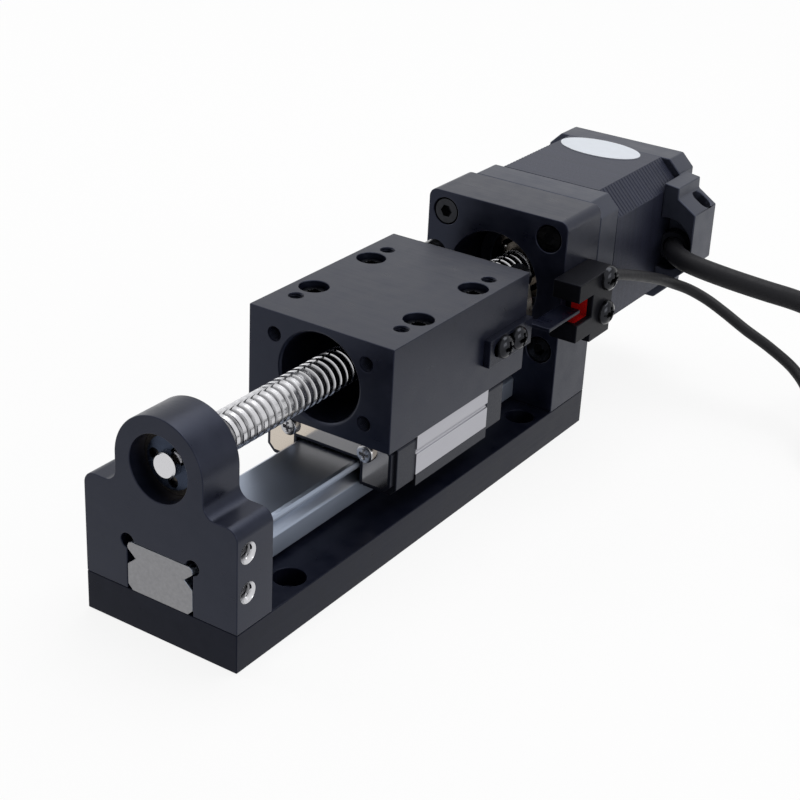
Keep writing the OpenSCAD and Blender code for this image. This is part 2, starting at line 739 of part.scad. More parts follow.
module motor_rear_bell() color([0.5, 0.5, 0.52]) difference() {
    union() {
        along_y(stack_y1, motor_back) motor_square(motor_chamfer);
        along_y(lug_y0, lug_y1) translate([motor_x, axis_z]) polygon(lug_outline);
    }
    difference() {
        rod_y(winding_room_r, stack_y1 - cut, stack_y1 + winding_room);
        rod_y(rear_boss_r, rear_bearing_y0, stack_y1 + winding_room + cut);
    }
    rod_y(journal_bearing_r + seat_gap, stack_y1 - cut, rear_bearing_y1 + spring_t);
    for (x = [-1, 1], z = [-1, 1]) {
        rod_y(m3_hole_r, stack_y1 - cut, motor_back + cut, x * motor_hole / 2, axis_z + z * motor_hole / 2);
        rod_y(body_head_r, motor_back - body_head_h, motor_back + cut, x * motor_hole / 2,
            axis_z + z * motor_hole / 2);
    }
    rod_y(lug_recess_r, lug_y0 - cut, lug_y0 + lug_recess, lug_recess_x);
    rod_y(gland_r + seat_gap, lug_y0, gland_y1, gland_x, gland_z);
    lug_pocket();
}

// Oval pocket in the lug's slanted face
module lug_pocket() {
    slope = atan2(lug_outline[2][1] - lug_outline[3][1], lug_outline[3][0] - lug_outline[2][0]);
    middle = (lug_outline[2] + lug_outline[3]) / 2;
    translate([motor_x + middle[0], pocket_y, axis_z + middle[1]]) rotate([0, slope, 0]) {
        for (x = [-0.5, 0.5]) rod_z(pocket_r, -pocket_depth, cut, x * pocket_l, 0);
        span(-pocket_l / 2, pocket_l / 2, -pocket_r, pocket_r, -pocket_depth, cut);
    }
}

module motor_body_screws() color([0.3, 0.3, 0.32])
    for (x = [-1, 1], z = [-1, 1])
        translate([x * motor_hole / 2, motor_back - body_head_h, axis_z + z * motor_hole / 2])
            rotate([-90, 0, 0]) pan_screw(motor_back - body_head_h - bell_grip_y, m3_r, m3_head_r, pan_h);

// Motor's front bearing, between the bell's pilot and the shaft
drive_path = (screw_r + drive_r) / 2;
drive_ball_r = 1.2;
drive_ball_n = 9;

module drive_bearing_outer() color([0.8, 0.8, 0.8])
    bearing_ring(drive_path + ring_gap, drive_r, drive_y0, drive_t, drive_path, drive_ball_r);

module drive_bearing_inner() color([0.75, 0.75, 0.76])
    bearing_ring(screw_r + seat_gap, drive_path - ring_gap, drive_y0, drive_t, drive_path, drive_ball_r);

module drive_bearing_balls() color("silver")
    bearing_balls(drive_y0 + drive_t / 2, drive_path, drive_ball_r, drive_ball_n);

module rear_bearing_outer() color([0.8, 0.8, 0.8]) journal_outer(rear_bearing_y0);

module rear_bearing_inner() color([0.75, 0.75, 0.76]) journal_inner(rear_bearing_y0);

module rear_bearing_balls() color("silver")
    bearing_balls(rear_bearing_y0 + journal_t / 2, journal_path, journal_ball_r, journal_ball_n);

module preload_spring() color([0.5, 0.5, 0.5]) difference() {
    rod_y(journal_bearing_r - fit_gap, rear_bearing_y1, rear_bearing_y1 + spring_t);
    rod_y(journal_path + ring_gap, rear_bearing_y1 - cut, rear_bearing_y1 + spring_t + cut);
}

module rotor_magnet() color([0.3, 0.3, 0.32]) difference() {
    middle = (rotor_y0 + rotor_y1) / 2;
    rod_y(rotor_r - fit_gap, middle - magnet_t / 2, middle + magnet_t / 2);
    rod_y(screw_r + seat_gap, rotor_y0, rotor_y1);
}

module rotor_cores() color([0.55, 0.55, 0.57]) {
    middle = (rotor_y0 + rotor_y1) / 2;
    for (ends = [[rotor_y0, middle - magnet_t / 2], [middle + magnet_t / 2, rotor_y1]]) difference() {
        rod_y(rotor_r, ends[0], ends[1]);
        rod_y(screw_r + seat_gap, rotor_y0 - cut, rotor_y1 + cut);
    }
}

module motor_label() color([0.95, 0.95, 0.95])
    translate([label_x, label_y, motor_top]) linear_extrude(label_t)
        polygon([for (i = [0:71]) [label_a * cos(5 * i), label_b * sin(5 * i)]]);

// Rubber grommet with ribs around the cable, flat against the motor's side
module cable_grommet() color([0.12, 0.12, 0.12]) difference() {
    union() {
        rod_y(gland_r - 0.7, gland_y0, gland_y1, gland_x, gland_z);
        for (y = [gland_y0:1.6:gland_y1 - 1]) rod_y(gland_r, y, y + 0.9, gland_x, gland_z);
    }
    rod_y(motor_cable_d / 2, gland_y0 - cut, gland_y1 + cut, gland_x, gland_z);
    span(0, motor_x + seat_gap, gland_y0 - cut, gland_y1 + cut, gland_z - gland_r, gland_z + gland_r);
}

module motor_cable() color([0.25, 0.25, 0.26]) tube(motor_route, motor_cable_d / 2, 10);

module motor_cable_coil() color([0.25, 0.25, 0.26])
    translate([motor_coil[0], motor_coil[1], 0]) rotate_extrude() {
        for (i = [0:motor_coil_rows - 1]) translate([motor_coil_r, motor_cable_d * (i + 0.5)])
            circle(motor_cable_d / 2);
        translate([motor_coil_r - motor_cable_d / 2, motor_cable_d / 2])
            square([motor_cable_d, motor_cable_d * (motor_coil_rows - 1)]);
    }

module motor_cable_tail() color([0.25, 0.25, 0.26]) tube(motor_tail, motor_cable_d / 2, 10);

// A plug's shell around the end of a cable, set along its last stretch
module plug(p, width, height, length) {
    end = p[len(p) - 1];
    way = heading(p, len(p) - 1);
    translate([end[0], end[1], 0]) rotate(atan2(way[1], way[0]))
        difference() {
            span(-plug_grip, length - plug_grip, -width / 2, width / 2, 0, height);
            for (i = [-1, 1]) translate([length - plug_grip - socket_l, i * width / 4 - width / 8, height / 4])
                cube([socket_l + cut, width / 4, height / 2]);
        }
}

module motor_plug() color([0.9, 0.9, 0.86]) plug(motor_tail, motor_plug_w, motor_plug_h, motor_plug_l);

// Slotted photo sensor: two jaws and the foot that the screws hold
module sensor_body() color([0.06, 0.06, 0.07]) difference() {
    along_x(base_x, sensor_x1) polygon([
        [sensor_y0, sensor_z1], [sensor_y0, slot_z1], [slot_back, slot_z1], [slot_back, slot_z0],
        [sensor_y0, slot_z0], [sensor_y0, sensor_z0], [slot_back, sensor_z0],
        [slot_back, sensor_z0 - sensor_foot], [sensor_y1, sensor_z0 - sensor_foot], [sensor_y1, sensor_z1]
    ]);
    for (z = [sensor_screw_z, sensor_screw_z - sensor_pitch])
        rod_x(m3_tap_r + seat_gap, base_x - cut, sensor_x1 + cut, sensor_screw_y, z);
    window_room();
    rod_y(sensor_cable_d / 2, sensor_y1 - sensor_cable_in, sensor_y1 + cut, sensor_cable_x, sensor_cable_z);
}

module window_room() {
    span(window_x, window_x + window_w, window_y, slot_back + window_t, slot_z0 - window_t, slot_z1 + window_t);
}

// Red liner around the inside of the slot: both windows and the wall between them
module sensor_windows() color([0.7, 0.05, 0.05]) difference() {
    window_room();
    span(window_x - cut, window_x + window_w + cut, window_y - cut, slot_back, slot_z0, slot_z1);
}

module sensor_screws() color([0.8, 0.8, 0.8])
    for (z = [sensor_screw_z, sensor_screw_z - sensor_pitch]) translate([sensor_x1, sensor_screw_y, z])
        rotate([0, 90, 0]) pan_screw(sensor_t + sensor_grip, m3_r, pan_r, pan_h);

module sensor_sleeve() color([0.1, 0.1, 0.1]) difference() {
    rod_y(sleeve_r, sensor_y1, sensor_y1 + sleeve_l, sensor_cable_x, sensor_cable_z);
    rod_y(sensor_cable_d / 2, sensor_y1 - cut, sensor_y1 + sleeve_l + cut, sensor_cable_x, sensor_cable_z);
}

module sensor_cable() color([0.2, 0.2, 0.21]) tube(sensor_route, sensor_cable_d / 2, 8);

module sensor_cable_coil() color([0.2, 0.2, 0.21])
    translate([sensor_coil[0], sensor_coil[1], 0]) rotate_extrude() {
        high = sensor_cable_d * sensor_coil_rows;
        inner = sensor_coil_r0 - sensor_cable_d / 2;
        outer = sensor_coil_r1 + sensor_cable_d / 2;
        translate([inner, sensor_cable_d / 2]) square([outer - inner, high - sensor_cable_d]);
        translate([sensor_coil_r0, 0]) square([sensor_coil_r1 - sensor_coil_r0, high]);
        for (r = [sensor_coil_r0, sensor_coil_r1], i = [0:sensor_coil_rows - 1])
            translate([r, sensor_cable_d * (i + 0.5)]) circle(sensor_cable_d / 2);
    }

module sensor_cable_tail() color([0.2, 0.2, 0.21]) tube(sensor_tail, sensor_cable_d / 2, 8);

module sensor_plug() color([0.9, 0.9, 0.86]) plug(sensor_tail, sensor_plug_w, sensor_plug_h, sensor_plug_l);

// Moving block with the nut's bore, the counterbored bolts and the tapped holes of its faces
module moving_block() color([0.22, 0.23, 0.26]) difference() {
    span(-block_x, block_x, block_y0, block_y1, guide_top, block_top);
    rod_y(nut_r + screw_gap, block_y0 - cut, block_y1 + cut);
    translate([0, block_y0, axis_z]) rotate([-90, 0, 0])
        cylinder(r1 = nut_r + screw_gap + bore_chamfer, r2 = nut_r + screw_gap, h = bore_chamfer);
    translate([0, slide_y, 0]) corners(guide_bolt_x / 2, guide_bolt_y / 2) {
        rod_z(m3_hole_r, guide_top - cut, block_top + cut, 0, 0);
        rod_z(m3_bore_r, block_top - block_head_h, block_top + cut, 0, 0);
    }
    translate([0, slide_y, 0]) corners(guide_bolt_x / 2, top_tap_y / 2)
        rod_z(m3_tap_r, block_top - top_tap_depth, block_top + cut, 0, 0);
    for (x = [-1, 1], z = [-1, 1]) {
        rod_y(m3_tap_r, block_y0 - cut, block_y0 + face_tap_depth, x * nut_hole_x, axis_z + z * nut_hole_z);
        rod_y(nut_tap_r, block_y1 - face_tap_depth, block_y1 + cut, x * nut_hole_x, axis_z + z * nut_hole_z);
    }
    for (y = flag_screw_ys) rod_x(m3_tap_r, block_x - flag_grip - tap_spare, block_x + cut, y, flag_screw_z);
}

module block_bolts() color([0.2, 0.2, 0.22])
    translate([0, slide_y, block_top - block_head_h]) corners(guide_bolt_x / 2, guide_bolt_y / 2)
        socket_screw(block_h - block_head_h + bolt_grip);

// Room for the rail under the carriage
module rail_room(gap) {
    translate([-rail_x - gap, 0]) square([rail_w + 2 * gap, rail_top + gap]);
}

module guide_body() color([0.7, 0.7, 0.72]) difference() {
    along_y(steel_y0, steel_y1) difference() {
        translate([-guide_x, guide_low + strip_h]) square([guide_w, guide_top - guide_low - strip_h]);
        rail_room(slide_gap);
        for (x = [-1, 1]) {
            translate([x * guide_ball_x, rail_groove_z]) circle(guide_ball_r + fit_gap);
            translate([x * return_x, return_z]) circle(return_r);
            translate([x * guide_x, side_line_z]) circle(side_line_r);
        }
    }
    translate([0, slide_y, 0]) corners(guide_bolt_x / 2, guide_bolt_y / 2)
        rod_z(m3_tap_r, guide_top - bolt_grip - screw_gap, guide_top + cut, 0, 0);
    for (x = [-1, 1]) {
        rod_y(m2_tap_r, steel_y0 - cut, steel_y0 + end_screw_grip + screw_gap, x * end_screw_x, end_screw_z);
        rod_y(m2_tap_r, steel_y1 - end_screw_grip - screw_gap, steel_y1 + cut, x * end_screw_x, end_screw_z);
    }
}

// Outline of the carriage's end, set in from its steel body
module end_outline(inset, low) {
    side = guide_x - inset;
    top = guide_top - inset;
    difference() {
        polygon([
            [-side + cap_chamfer, low], [side - cap_chamfer, low], [side, low + cap_chamfer],
            [side, top - cap_chamfer], [side - cap_chamfer, top], [-side + cap_chamfer, top],
            [-side, top - cap_chamfer], [-side, low + cap_chamfer]
        ]);
        rail_room(slide_gap);
        for (x = [-1, 1]) translate([x * end_screw_x, end_screw_z]) circle(m2_hole_r);
    }
}

module guide_cap_front() color([0.08, 0.08, 0.09])
    along_y(cap_y0, steel_y0) end_outline(cap_inset, guide_low);

module guide_cap_rear() color([0.08, 0.08, 0.09])
    along_y(steel_y1, cap_y1) end_outline(cap_inset, guide_low);

module guide_seal_front() color([0.78, 0.74, 0.66])
    along_y(cap_y0 - seal_t, cap_y0) end_outline(seal_inset, guide_low + seal_inset);

module guide_seal_rear() color([0.78, 0.74, 0.66])
    along_y(cap_y1, cap_y1 + seal_t) end_outline(seal_inset, guide_low + seal_inset);

module guide_cap_screws() color([0.8, 0.8, 0.8]) {
    shank = steel_y0 - cap_y0 + seal_t + end_screw_grip;
    for (x = [-1, 1]) {
        translate([x * end_screw_x, cap_y0 - seal_t, end_screw_z]) rotate([90, 0, 0])
            pan_screw(shank, m2_r, end_head_r, end_head_h);
        translate([x * end_screw_x, cap_y1 + seal_t, end_screw_z]) rotate([-90, 0, 0])
            pan_screw(shank, m2_r, end_head_r, end_head_h);
    }
}

module guide_strips() color([0.08, 0.08, 0.09]) for (x = [-1, 1]) difference() {
    span(min(x * (rail_x + slide_gap), x * guide_x), max(x * (rail_x + slide_gap), x * guide_x),
        steel_y0, steel_y1, guide_low, guide_low + strip_h);
    rod_y(guide_ball_r + fit_gap, steel_y0 - cut, steel_y1 + cut, x * guide_ball_x, rail_groove_z);
}

module guide_balls() color("silver") for (x = [-1, 1], i = [0:guide_ball_n - 1])
    translate([x * guide_ball_x, slide_y + guide_ball_pitch * (i - (guide_ball_n - 1) / 2), rail_groove_z])
        sphere(guide_ball_r);

// Ball nut: body, flat-sided flange, ball chamber and seats for the wipers
module ball_nut() color([0.7, 0.66, 0.58]) difference() {
    union() {
        rod_y(nut_r, nut_y0, block_y1 + cut);
        intersection() {
            rod_y(flange_d / 2, block_y1, nut_y1);
            span(-flange_d, flange_d, block_y1, nut_y1, axis_z - flange_flat / 2, axis_z + flange_flat / 2);
        }
    }
    rod_y(nut_bore_r, nut_y0 - cut, nut_y1 + cut);
    rod_y(nut_chamber_r, nut_middle - nut_chamber_l / 2, nut_middle + nut_chamber_l / 2);
    rod_y(wiper_seat_r, nut_y0 - cut, nut_y0 + wiper_t);
    rod_y(wiper_seat_r, nut_y1 - wiper_t, nut_y1 + cut);
    for (x = [-1, 1], z = [-1, 1])
        rod_y(m3_hole_r, block_y1 - cut, nut_y1 + cut, x * nut_hole_x, axis_z + z * nut_hole_z);
}

nut_middle = (nut_y0 + nut_y1) / 2;

module nut_screws() color([0.2, 0.2, 0.22])
    for (x = [-1, 1], z = [-1, 1]) translate([x * nut_hole_x, nut_y1, axis_z + z * nut_hole_z])
        rotate([-90, 0, 0]) socket_screw(flange_t + nut_grip);

// Balls along the thread's groove
module nut_balls() color("silver") {
    first = round((nut_middle - thread_y0) / screw_lead - nut_ball_turns / 2 - groove_middle);
    for (i = [0:nut_ball_n - 1]) let(a = i * nut_ball_step)
        translate([0, thread_y0 + screw_lead * (first + groove_middle + a / 360), axis_z])
            rotate([0, a, 0]) translate([0, 0, nut_ball_path]) sphere(nut_ball_r);
}

module nut_wipers() color([0.1, 0.1, 0.1]) for (y = [nut_y0, nut_y1 - wiper_t]) difference() {
    rod_y(wiper_seat_r, y, y + wiper_t);
    rod_y(wiper_r, y - cut, y + wiper_t + cut);
}

// Flag: a slotted plate on the block's side with a flat tongue that runs into the sensor's slot
module sensor_flag() color([0.1, 0.1, 0.11]) union() {
    along_x(block_x, block_x + flag_t) difference() {
        translate([flag_y0, flag_z - flag_half]) square([flag_y1 - flag_y0, 2 * flag_half]);
        for (y = [flag_slot_y0, flag_slot_y1]) translate([y, flag_screw_z]) circle(m3_hole_r);
        translate([flag_slot_y0, flag_screw_z - m3_hole_r])
            square([flag_slot_y1 - flag_slot_y0, 2 * m3_hole_r]);
    }
    translate([0, 0, tongue_z]) linear_extrude(tongue_t) polygon([
        [block_x, tongue_root], [block_x + flag_t, tongue_root], [block_x + flag_t, tongue_front],
        [tongue_x, tongue_front], [tongue_x, tongue_y], [tongue_side, tongue_y],
        [tongue_side, tongue_step], [block_x, tongue_step]
    ]);
}

module flag_screws() color([0.8, 0.8, 0.8])
    for (y = flag_screw_ys) translate([block_x + flag_t, y, flag_screw_z])
        rotate([0, 90, 0]) pan_screw(flag_t + flag_grip, m3_r, flag_pan_r, pan_h);

base_plate();
linear_rail();
rail_screws();
front_block();
front_block_screws();
front_bearing_outer();
front_bearing_balls();
front_bearing_shields();
front_bearing_inner();
shaft_clip();
ball_screw();
motor_block();
motor_block_screws();
motor_mount_screws();
motor_front_bell();
motor_stack();
motor_windings();
motor_rear_bell();
motor_body_screws();
drive_bearing_outer();
drive_bearing_balls();
drive_bearing_inner();
rear_bearing_outer();
rear_bearing_balls();
rear_bearing_inner();
preload_spring();
rotor_magnet();
rotor_cores();
motor_label();
cable_grommet();
motor_cable();
motor_cable_coil();
motor_cable_tail();
motor_plug();
sensor_body();
sensor_windows();
sensor_screws();
sensor_sleeve();
sensor_cable();
sensor_cable_coil();
sensor_cable_tail();
sensor_plug();
moving_block();
block_bolts();
guide_body();
guide_cap_front();
guide_cap_rear();
guide_seal_front();
guide_seal_rear();
guide_cap_screws();
guide_strips();
guide_balls();
ball_nut();
nut_screws();
nut_balls();
nut_wipers();
sensor_flag();
flag_screws();
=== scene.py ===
"""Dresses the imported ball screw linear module: cords, rounded edges, fine parts, finishes and a plain studio.

Everything is in metres in the model's own frame: X across the base with the sensor on +X, Y along the screw
towards the motor, Z up from the underside of the base.
"""

from __future__ import annotations

import json
import logging
import math
from dataclasses import dataclass, field
from enum import Enum
from functools import cache

import bmesh
import bpy
import numpy as np
from mathutils import Matrix, Vector


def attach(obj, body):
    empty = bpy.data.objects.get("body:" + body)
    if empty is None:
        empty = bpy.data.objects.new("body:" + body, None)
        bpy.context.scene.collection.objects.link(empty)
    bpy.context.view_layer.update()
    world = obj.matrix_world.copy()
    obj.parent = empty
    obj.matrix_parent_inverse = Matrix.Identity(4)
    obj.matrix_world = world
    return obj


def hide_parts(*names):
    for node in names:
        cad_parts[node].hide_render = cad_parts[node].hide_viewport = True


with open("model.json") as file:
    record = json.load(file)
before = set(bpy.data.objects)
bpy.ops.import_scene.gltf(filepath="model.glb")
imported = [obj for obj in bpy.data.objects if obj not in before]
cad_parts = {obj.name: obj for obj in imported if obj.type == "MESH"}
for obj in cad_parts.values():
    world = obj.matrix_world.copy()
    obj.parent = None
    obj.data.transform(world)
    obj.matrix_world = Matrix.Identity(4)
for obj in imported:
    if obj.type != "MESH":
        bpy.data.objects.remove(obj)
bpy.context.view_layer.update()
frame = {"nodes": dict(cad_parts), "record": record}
LOG = logging.getLogger("module")
MM = 0.001
AXIS_Z = 0.035
Points = np.ndarray
Socket = bpy.types.NodeSocket
Piece = bpy.types.Object
Pair = tuple[float, float]
Triple = tuple[float, float, float]
Color = Triple
BLUISH: Color = (0.62, 0.70, 1.0)
WHITE: Color = (1.0, 1.0, 1.0)
MERGE = 2e-6
FLAT = math.radians(0.4)
WINDING_STEP = 15.0


class Body(Enum):
    """The three rigid bodies of the module."""

    FRAME = "frame"
    SCREW = "screw"
    CARRIAGE = "carriage"


class Recess(Enum):
    """The drive cut into a screw's head."""

    HEX = "hex"
    CROSS = "cross"


SLOTS = {part["node"]: part["material_slot"] for part in frame["record"]["subparts"]}
BODIES = {node: Body(body) for body, nodes in frame["record"]["behaviour"]["bodies"].items() for node in nodes}


# ---------------- shader building


class NodeTree:
    """The nodes of a material or of the surround, and the steps that both use."""

    def __init__(self, owner: bpy.types.ID) -> None:
        """Takes over the nodes of their owner.

        Args:
            owner: A material or a world.
        """
        owner.use_nodes = True
        self.nodes = owner.node_tree.nodes
        self.links = owner.node_tree.links

    def add(self, kind: str, **values: object) -> bpy.types.Node:
        """Adds a node and sets its own properties.

        Args:
            kind: The node's type name.
            **values: Property names with their values.

        Returns:
            The node.
        """
        node = self.nodes.new(kind)
        for key, value in values.items():
            setattr(node, key, value)
        return node

    def math(self, kind: str, first: object, second: object = 0.0) -> Socket:
        """One step of arithmetic on sockets or numbers.

        Args:
            kind: The operation.
            first: A socket or a number.
            second: A socket or a number.

        Returns:
            The result's socket.
        """
        node = self.add("ShaderNodeMath", operation=kind)
        for index, value in enumerate((first, second)):
            if isinstance(value, Socket):
                self.links.new(value, node.inputs[index])
            else:
                node.inputs[index].default_value = value
        return node.outputs[0]

    def eye(self) -> Socket:
        """Tells what the camera sees, straight, in a mirror or through glass, from light that falls.

        Returns:
            The socket of 1 for what it sees and 0 for falling light.
        """
        path = self.add("ShaderNodeLightPath")
        mirrored = self.math("MAXIMUM", path.outputs["Is Glossy Ray"], path.outputs["Is Transmission Ray"])
        return self.math("MAXIMUM", path.outputs["Is Camera Ray"], mirrored)


class Shader(NodeTree):
    """A material with one Principled shader and a few helpers that add nodes to it."""

    def __init__(self, name: str) -> None:
        """Makes an empty material.

        Args:
            name: The material's name.
        """
        self.material = bpy.data.materials.new(name)
        super().__init__(self.material)
        self.surface = self.nodes["Principled BSDF"]

    def place(self, scale: Triple = (1, 1, 1)) -> Socket:
        """Object coordinates times a scale along each axis.

        Args:
            scale: The scale along X, Y and Z.

        Returns:
            The vector socket.
        """
        coordinate = self.add("ShaderNodeTexCoord")
        mapping = self.add("ShaderNodeMapping")
        mapping.inputs["Scale"].default_value = scale
        self.links.new(coordinate.outputs["Object"], mapping.inputs["Vector"])
        return mapping.outputs["Vector"]

    def where(self, axis: int) -> Socket:
        """The place along one of the object's axes.

        Args:
            axis: 0, 1 or 2 for X, Y or Z.

        Returns:
            The value's socket, in metres.
        """
        split = self.add("ShaderNodeSeparateXYZ")
        self.links.new(self.place(), split.inputs[0])
        return split.outputs[axis]

    def apart(self, first: Socket, second: Socket) -> Socket:
        """The length of two places square to each other: the root of the sum of their squares."""
        squares = (self.math("MULTIPLY", first, first), self.math("MULTIPLY", second, second))
        return self.math("SQRT", self.math("ADD", *squares))

    def noise(self, scale: float | Triple, detail: float = 3,
              rough: float = 0.5) -> Socket:
        """Noise whose grains are one over scale in size along each axis.

        Args:
            scale: Grains per metre, all round or along X, Y and Z.
            detail: The noise's octaves.
            rough: The weight of its finer octaves.

        Returns:
            The noise value's socket.
        """
        node = self.add("ShaderNodeTexNoise")
        node.inputs["Scale"].default_value = 1
        node.inputs["Detail"].default_value = detail
        node.inputs["Roughness"].default_value = rough
        self.links.new(self.place(scale if isinstance(scale, tuple) else (scale,) * 3), node.inputs["Vector"])
        return node.outputs["Fac"]

    def drawn(self, across: float, along: float, axis: int, detail: float) -> Socket:
        """Noise drawn out into lines along one axis, with its grains per metre across the lines and along them."""
        return self.noise(tuple(along if k == axis else across for k in range(3)), detail)

    def remap(self, value: Socket, low: float, high: float, start: float = 0.3,
              end: float = 0.7) -> Socket:
        """A value moved from the range start to end to the range low to high.

        Args:
            value: The value's socket.
            low: The result at start.
            high: The result at end.
            start: Where the input range starts.
            end: Where the input range ends.

        Returns:
            The result's socket.
        """
        node = self.add("ShaderNodeMapRange")
        for name, number in (("From Min", start), ("From Max", end), ("To Min", low), ("To Max", high)):
            node.inputs[name].default_value = number
        self.links.new(value, node.inputs["Value"])
        return node.outputs["Result"]

    def blend(self, share: Socket, first: object, second: object) -> Socket:
        """A colour between two colours.

        Args:
            share: How much of the second colour, from 0 to 1.
            first: A colour or a colour's socket.
            second: A colour or a colour's socket.

        Returns:
            The colour's socket.
        """
        node = self.add("ShaderNodeMix", data_type="RGBA")
        self.links.new(share, node.inputs["Factor"])
        for name, value in (("A", first), ("B", second)):
            socket = next(s for s in node.inputs if s.name == name and s.type == "RGBA")
            if isinstance(value, Socket):
                self.links.new(value, socket)
            else:
                socket.default_value = (*value, 1)
        return next(s for s in node.outputs if s.type == "RGBA")

    def facing(self, axis: int, start: float = 0.6, end: float = 0.9) -> Socket:
        """How far the surface faces along one of the object's axes, either way.

        Args:
            axis: 0, 1 or 2 for X, Y or Z.
            start: The normal's share along the axis where the result leaves 0.
            end: The share where it reaches 1.

        Returns:
            The value's socket.
        """
        coordinate = self.add("ShaderNodeTexCoord")
        split = self.add("ShaderNodeSeparateXYZ")
        self.links.new(coordinate.outputs["Normal"], split.inputs[0])
        return self.remap(self.math("ABSOLUTE", split.outputs[axis]), 0, 1, start, end)

    def bump(self, height: Socket, depth: float, strength: float = 1,
             below: Socket | None = None) -> Socket:
        """Small relief.

        Args:
            height: The height's socket, from 0 to 1.
            depth: The relief's depth in metres.
            strength: The bump's strength.
            below: The normal of a coarser relief under this one.

        Returns:
            The normal's socket.
        """
        node = self.add("ShaderNodeBump")
        node.inputs["Strength"].default_value = strength
        node.inputs["Distance"].default_value = depth
        self.links.new(height, node.inputs["Height"])
        if below is not None:
            self.links.new(below, node.inputs["Normal"])
        return node.outputs["Normal"]

    def set(self, **values: object) -> None:
        """Sets or links inputs of the Principled shader.

        Args:
            **values: Input names, with _ for a space, and their numbers, colours or sockets.
        """
        for key, value in values.items():
            socket = self.surface.inputs[key.replace("_", " ")]
            if isinstance(value, Socket):
                self.links.new(value, socket)
            elif isinstance(value, tuple):
                socket.default_value = (*value, 1)
            else:
                socket.default_value = value


# ---------------- finishes


def scaled(color: Color, factor: float, lift: float = 0.0) -> Color:
    """A colour with each share times a factor, plus a lift, and no more than 1."""
    return tuple(min(1, share * factor + lift) for share in color)


@dataclass(frozen=True)
class Finish:
    """One finish, looked up by its name, which is the record's slot wherever it has one."""

    name: str

    def material(self) -> bpy.types.Material:
        """Makes the finish's material.

        Returns:
            The material.
        """
        s = Shader(self.name)
        self.lay(s)
        return s.material

    def lay(self, s: Shader) -> None:
        """Sets the shader's inputs, as each kind of finish does in its own way."""
        raise NotImplementedError


@dataclass(frozen=True)
class Anodised(Finish):
    """Satin black anodised aluminium: fine blasted grain, faint tool lines and slight mottling."""

    color: Color = (0.002, 0.0027, 0.0078)
    rough: float = 0.34
    grain: float = 7000
    lines: float = 0.25
    lines_along: int = 0
    level: float = 0.34
    wear: float = 0.05
    grain_depth: float = 0.012 * MM
    line_depth: float = 0.01 * MM

    def lay(self, s: Shader) -> None:
        """Sets the shader's inputs.

        Args:
            s: The shader.
        """
        mottle = s.noise(260, 4)
        grain = s.noise(self.grain, 2, 0.6)
        tool = s.drawn(2600, 45, self.lines_along, 2)
        relief = s.bump(tool, self.line_depth, self.lines, s.bump(grain, self.grain_depth, 0.35))
        worn = s.remap(mottle, self.rough - self.wear, self.rough + self.wear)
        pale = scaled(self.color, 1.3, 0.004)
        s.set(Base_Color=s.blend(s.remap(mottle, 0, 1), self.color, pale), Normal=relief,
              Roughness=s.math("ADD", worn, s.remap(tool, -0.03, 0.03)),
              Specular_IOR_Level=self.level, Specular_Tint=BLUISH)


@dataclass(frozen=True)
class GroundSteel(Finish):
    """Bright steel ground along one axis, with duller, speckled sawn ends and a duller flank where it has them."""

    color: Color
    rough: float = 0.3
    along: int = 1
    ends: bool = False
    flank: float = 0.0
    sawn: tuple[Color, Color] = ((0.225, 0.225, 0.235), (0.27, 0.27, 0.28))
    sawn_rough: float = 0.22
    sawn_depth: float = 0.012 * MM

    def lay(self, s: Shader) -> None:
        """Sets the shader's inputs.

        Args:
            s: The shader.
        """
        lines = s.drawn(5200, 70, self.along, 3)
        broad = s.noise(120, 3)
        rough = s.math("ADD", s.remap(lines, self.rough - 0.01, self.rough + 0.01), s.remap(broad, -0.01, 0.02))
        color = s.blend(s.remap(lines, 0, 1), scaled(self.color, 0.96), self.color)
        normal = s.bump(broad, 0.002 * MM, 0.2)
        if self.flank:
            rough = s.math("ADD", rough, s.math("MULTIPLY", s.facing(0), self.flank))
        if self.ends:
            end = s.facing(self.along)
            speck = s.noise(1300, 4, 0.6)
            color = s.blend(end, color, s.blend(s.remap(speck, 0, 1), *self.sawn))
            rough = s.math("ADD", rough, s.math("MULTIPLY", end, self.sawn_rough))
            normal = s.bump(s.math("MULTIPLY", speck, end), self.sawn_depth, 0.4, normal)
        s.set(Base_Color=color, Metallic=1.0, Roughness=rough, Normal=normal)


@dataclass(frozen=True)
class PolishedSteel(Finish):
    """Rolled and polished steel around the screw's axis, with painted shade darkening its grooves but not its journals.
    """

    color: Color = (0.60, 0.60, 0.62)
    # painted shade: the darker colour laid into the thread's grooves, standing for shade and dark reflections there
    groove: Color = (0.085, 0.085, 0.09)
    groove_rough: float = 0.1
    crest: float = 4.0 * MM
    depth: float = 0.4 * MM
    journal: float = 2.6 * MM
    rough: float = 0.2

    def lay(self, s: Shader) -> None:
        """Sets the shader's inputs: the share of painted groove shade follows the distance from the screw's axis.

        Args:
            s: The shader.
        """
        radius = s.apart(s.where(0), s.math("SUBTRACT", s.where(2), AXIS_Z))
        # sunk and deep give the share of painted shade, full down in the grooves and nought on the journals
        sunk = s.remap(radius, 1, 0, self.crest - self.depth, self.crest - self.depth * 0.2)
        deep = s.math("MULTIPLY", sunk, s.remap(radius, 0, 1, self.journal, self.crest - self.depth * 1.5))
        fine = s.noise((900, 5000, 900), 3)
        worn = s.remap(fine, self.rough - 0.03, self.rough + 0.05)
        # the blend lays the painted groove shade over the steel's colour
        s.set(Base_Color=s.blend(deep, self.color, self.groove), Metallic=1.0,
              Roughness=s.math("ADD", worn, s.math("MULTIPLY", deep, self.groove_rough)),
              Normal=s.bump(fine, 0.003 * MM, 0.4))


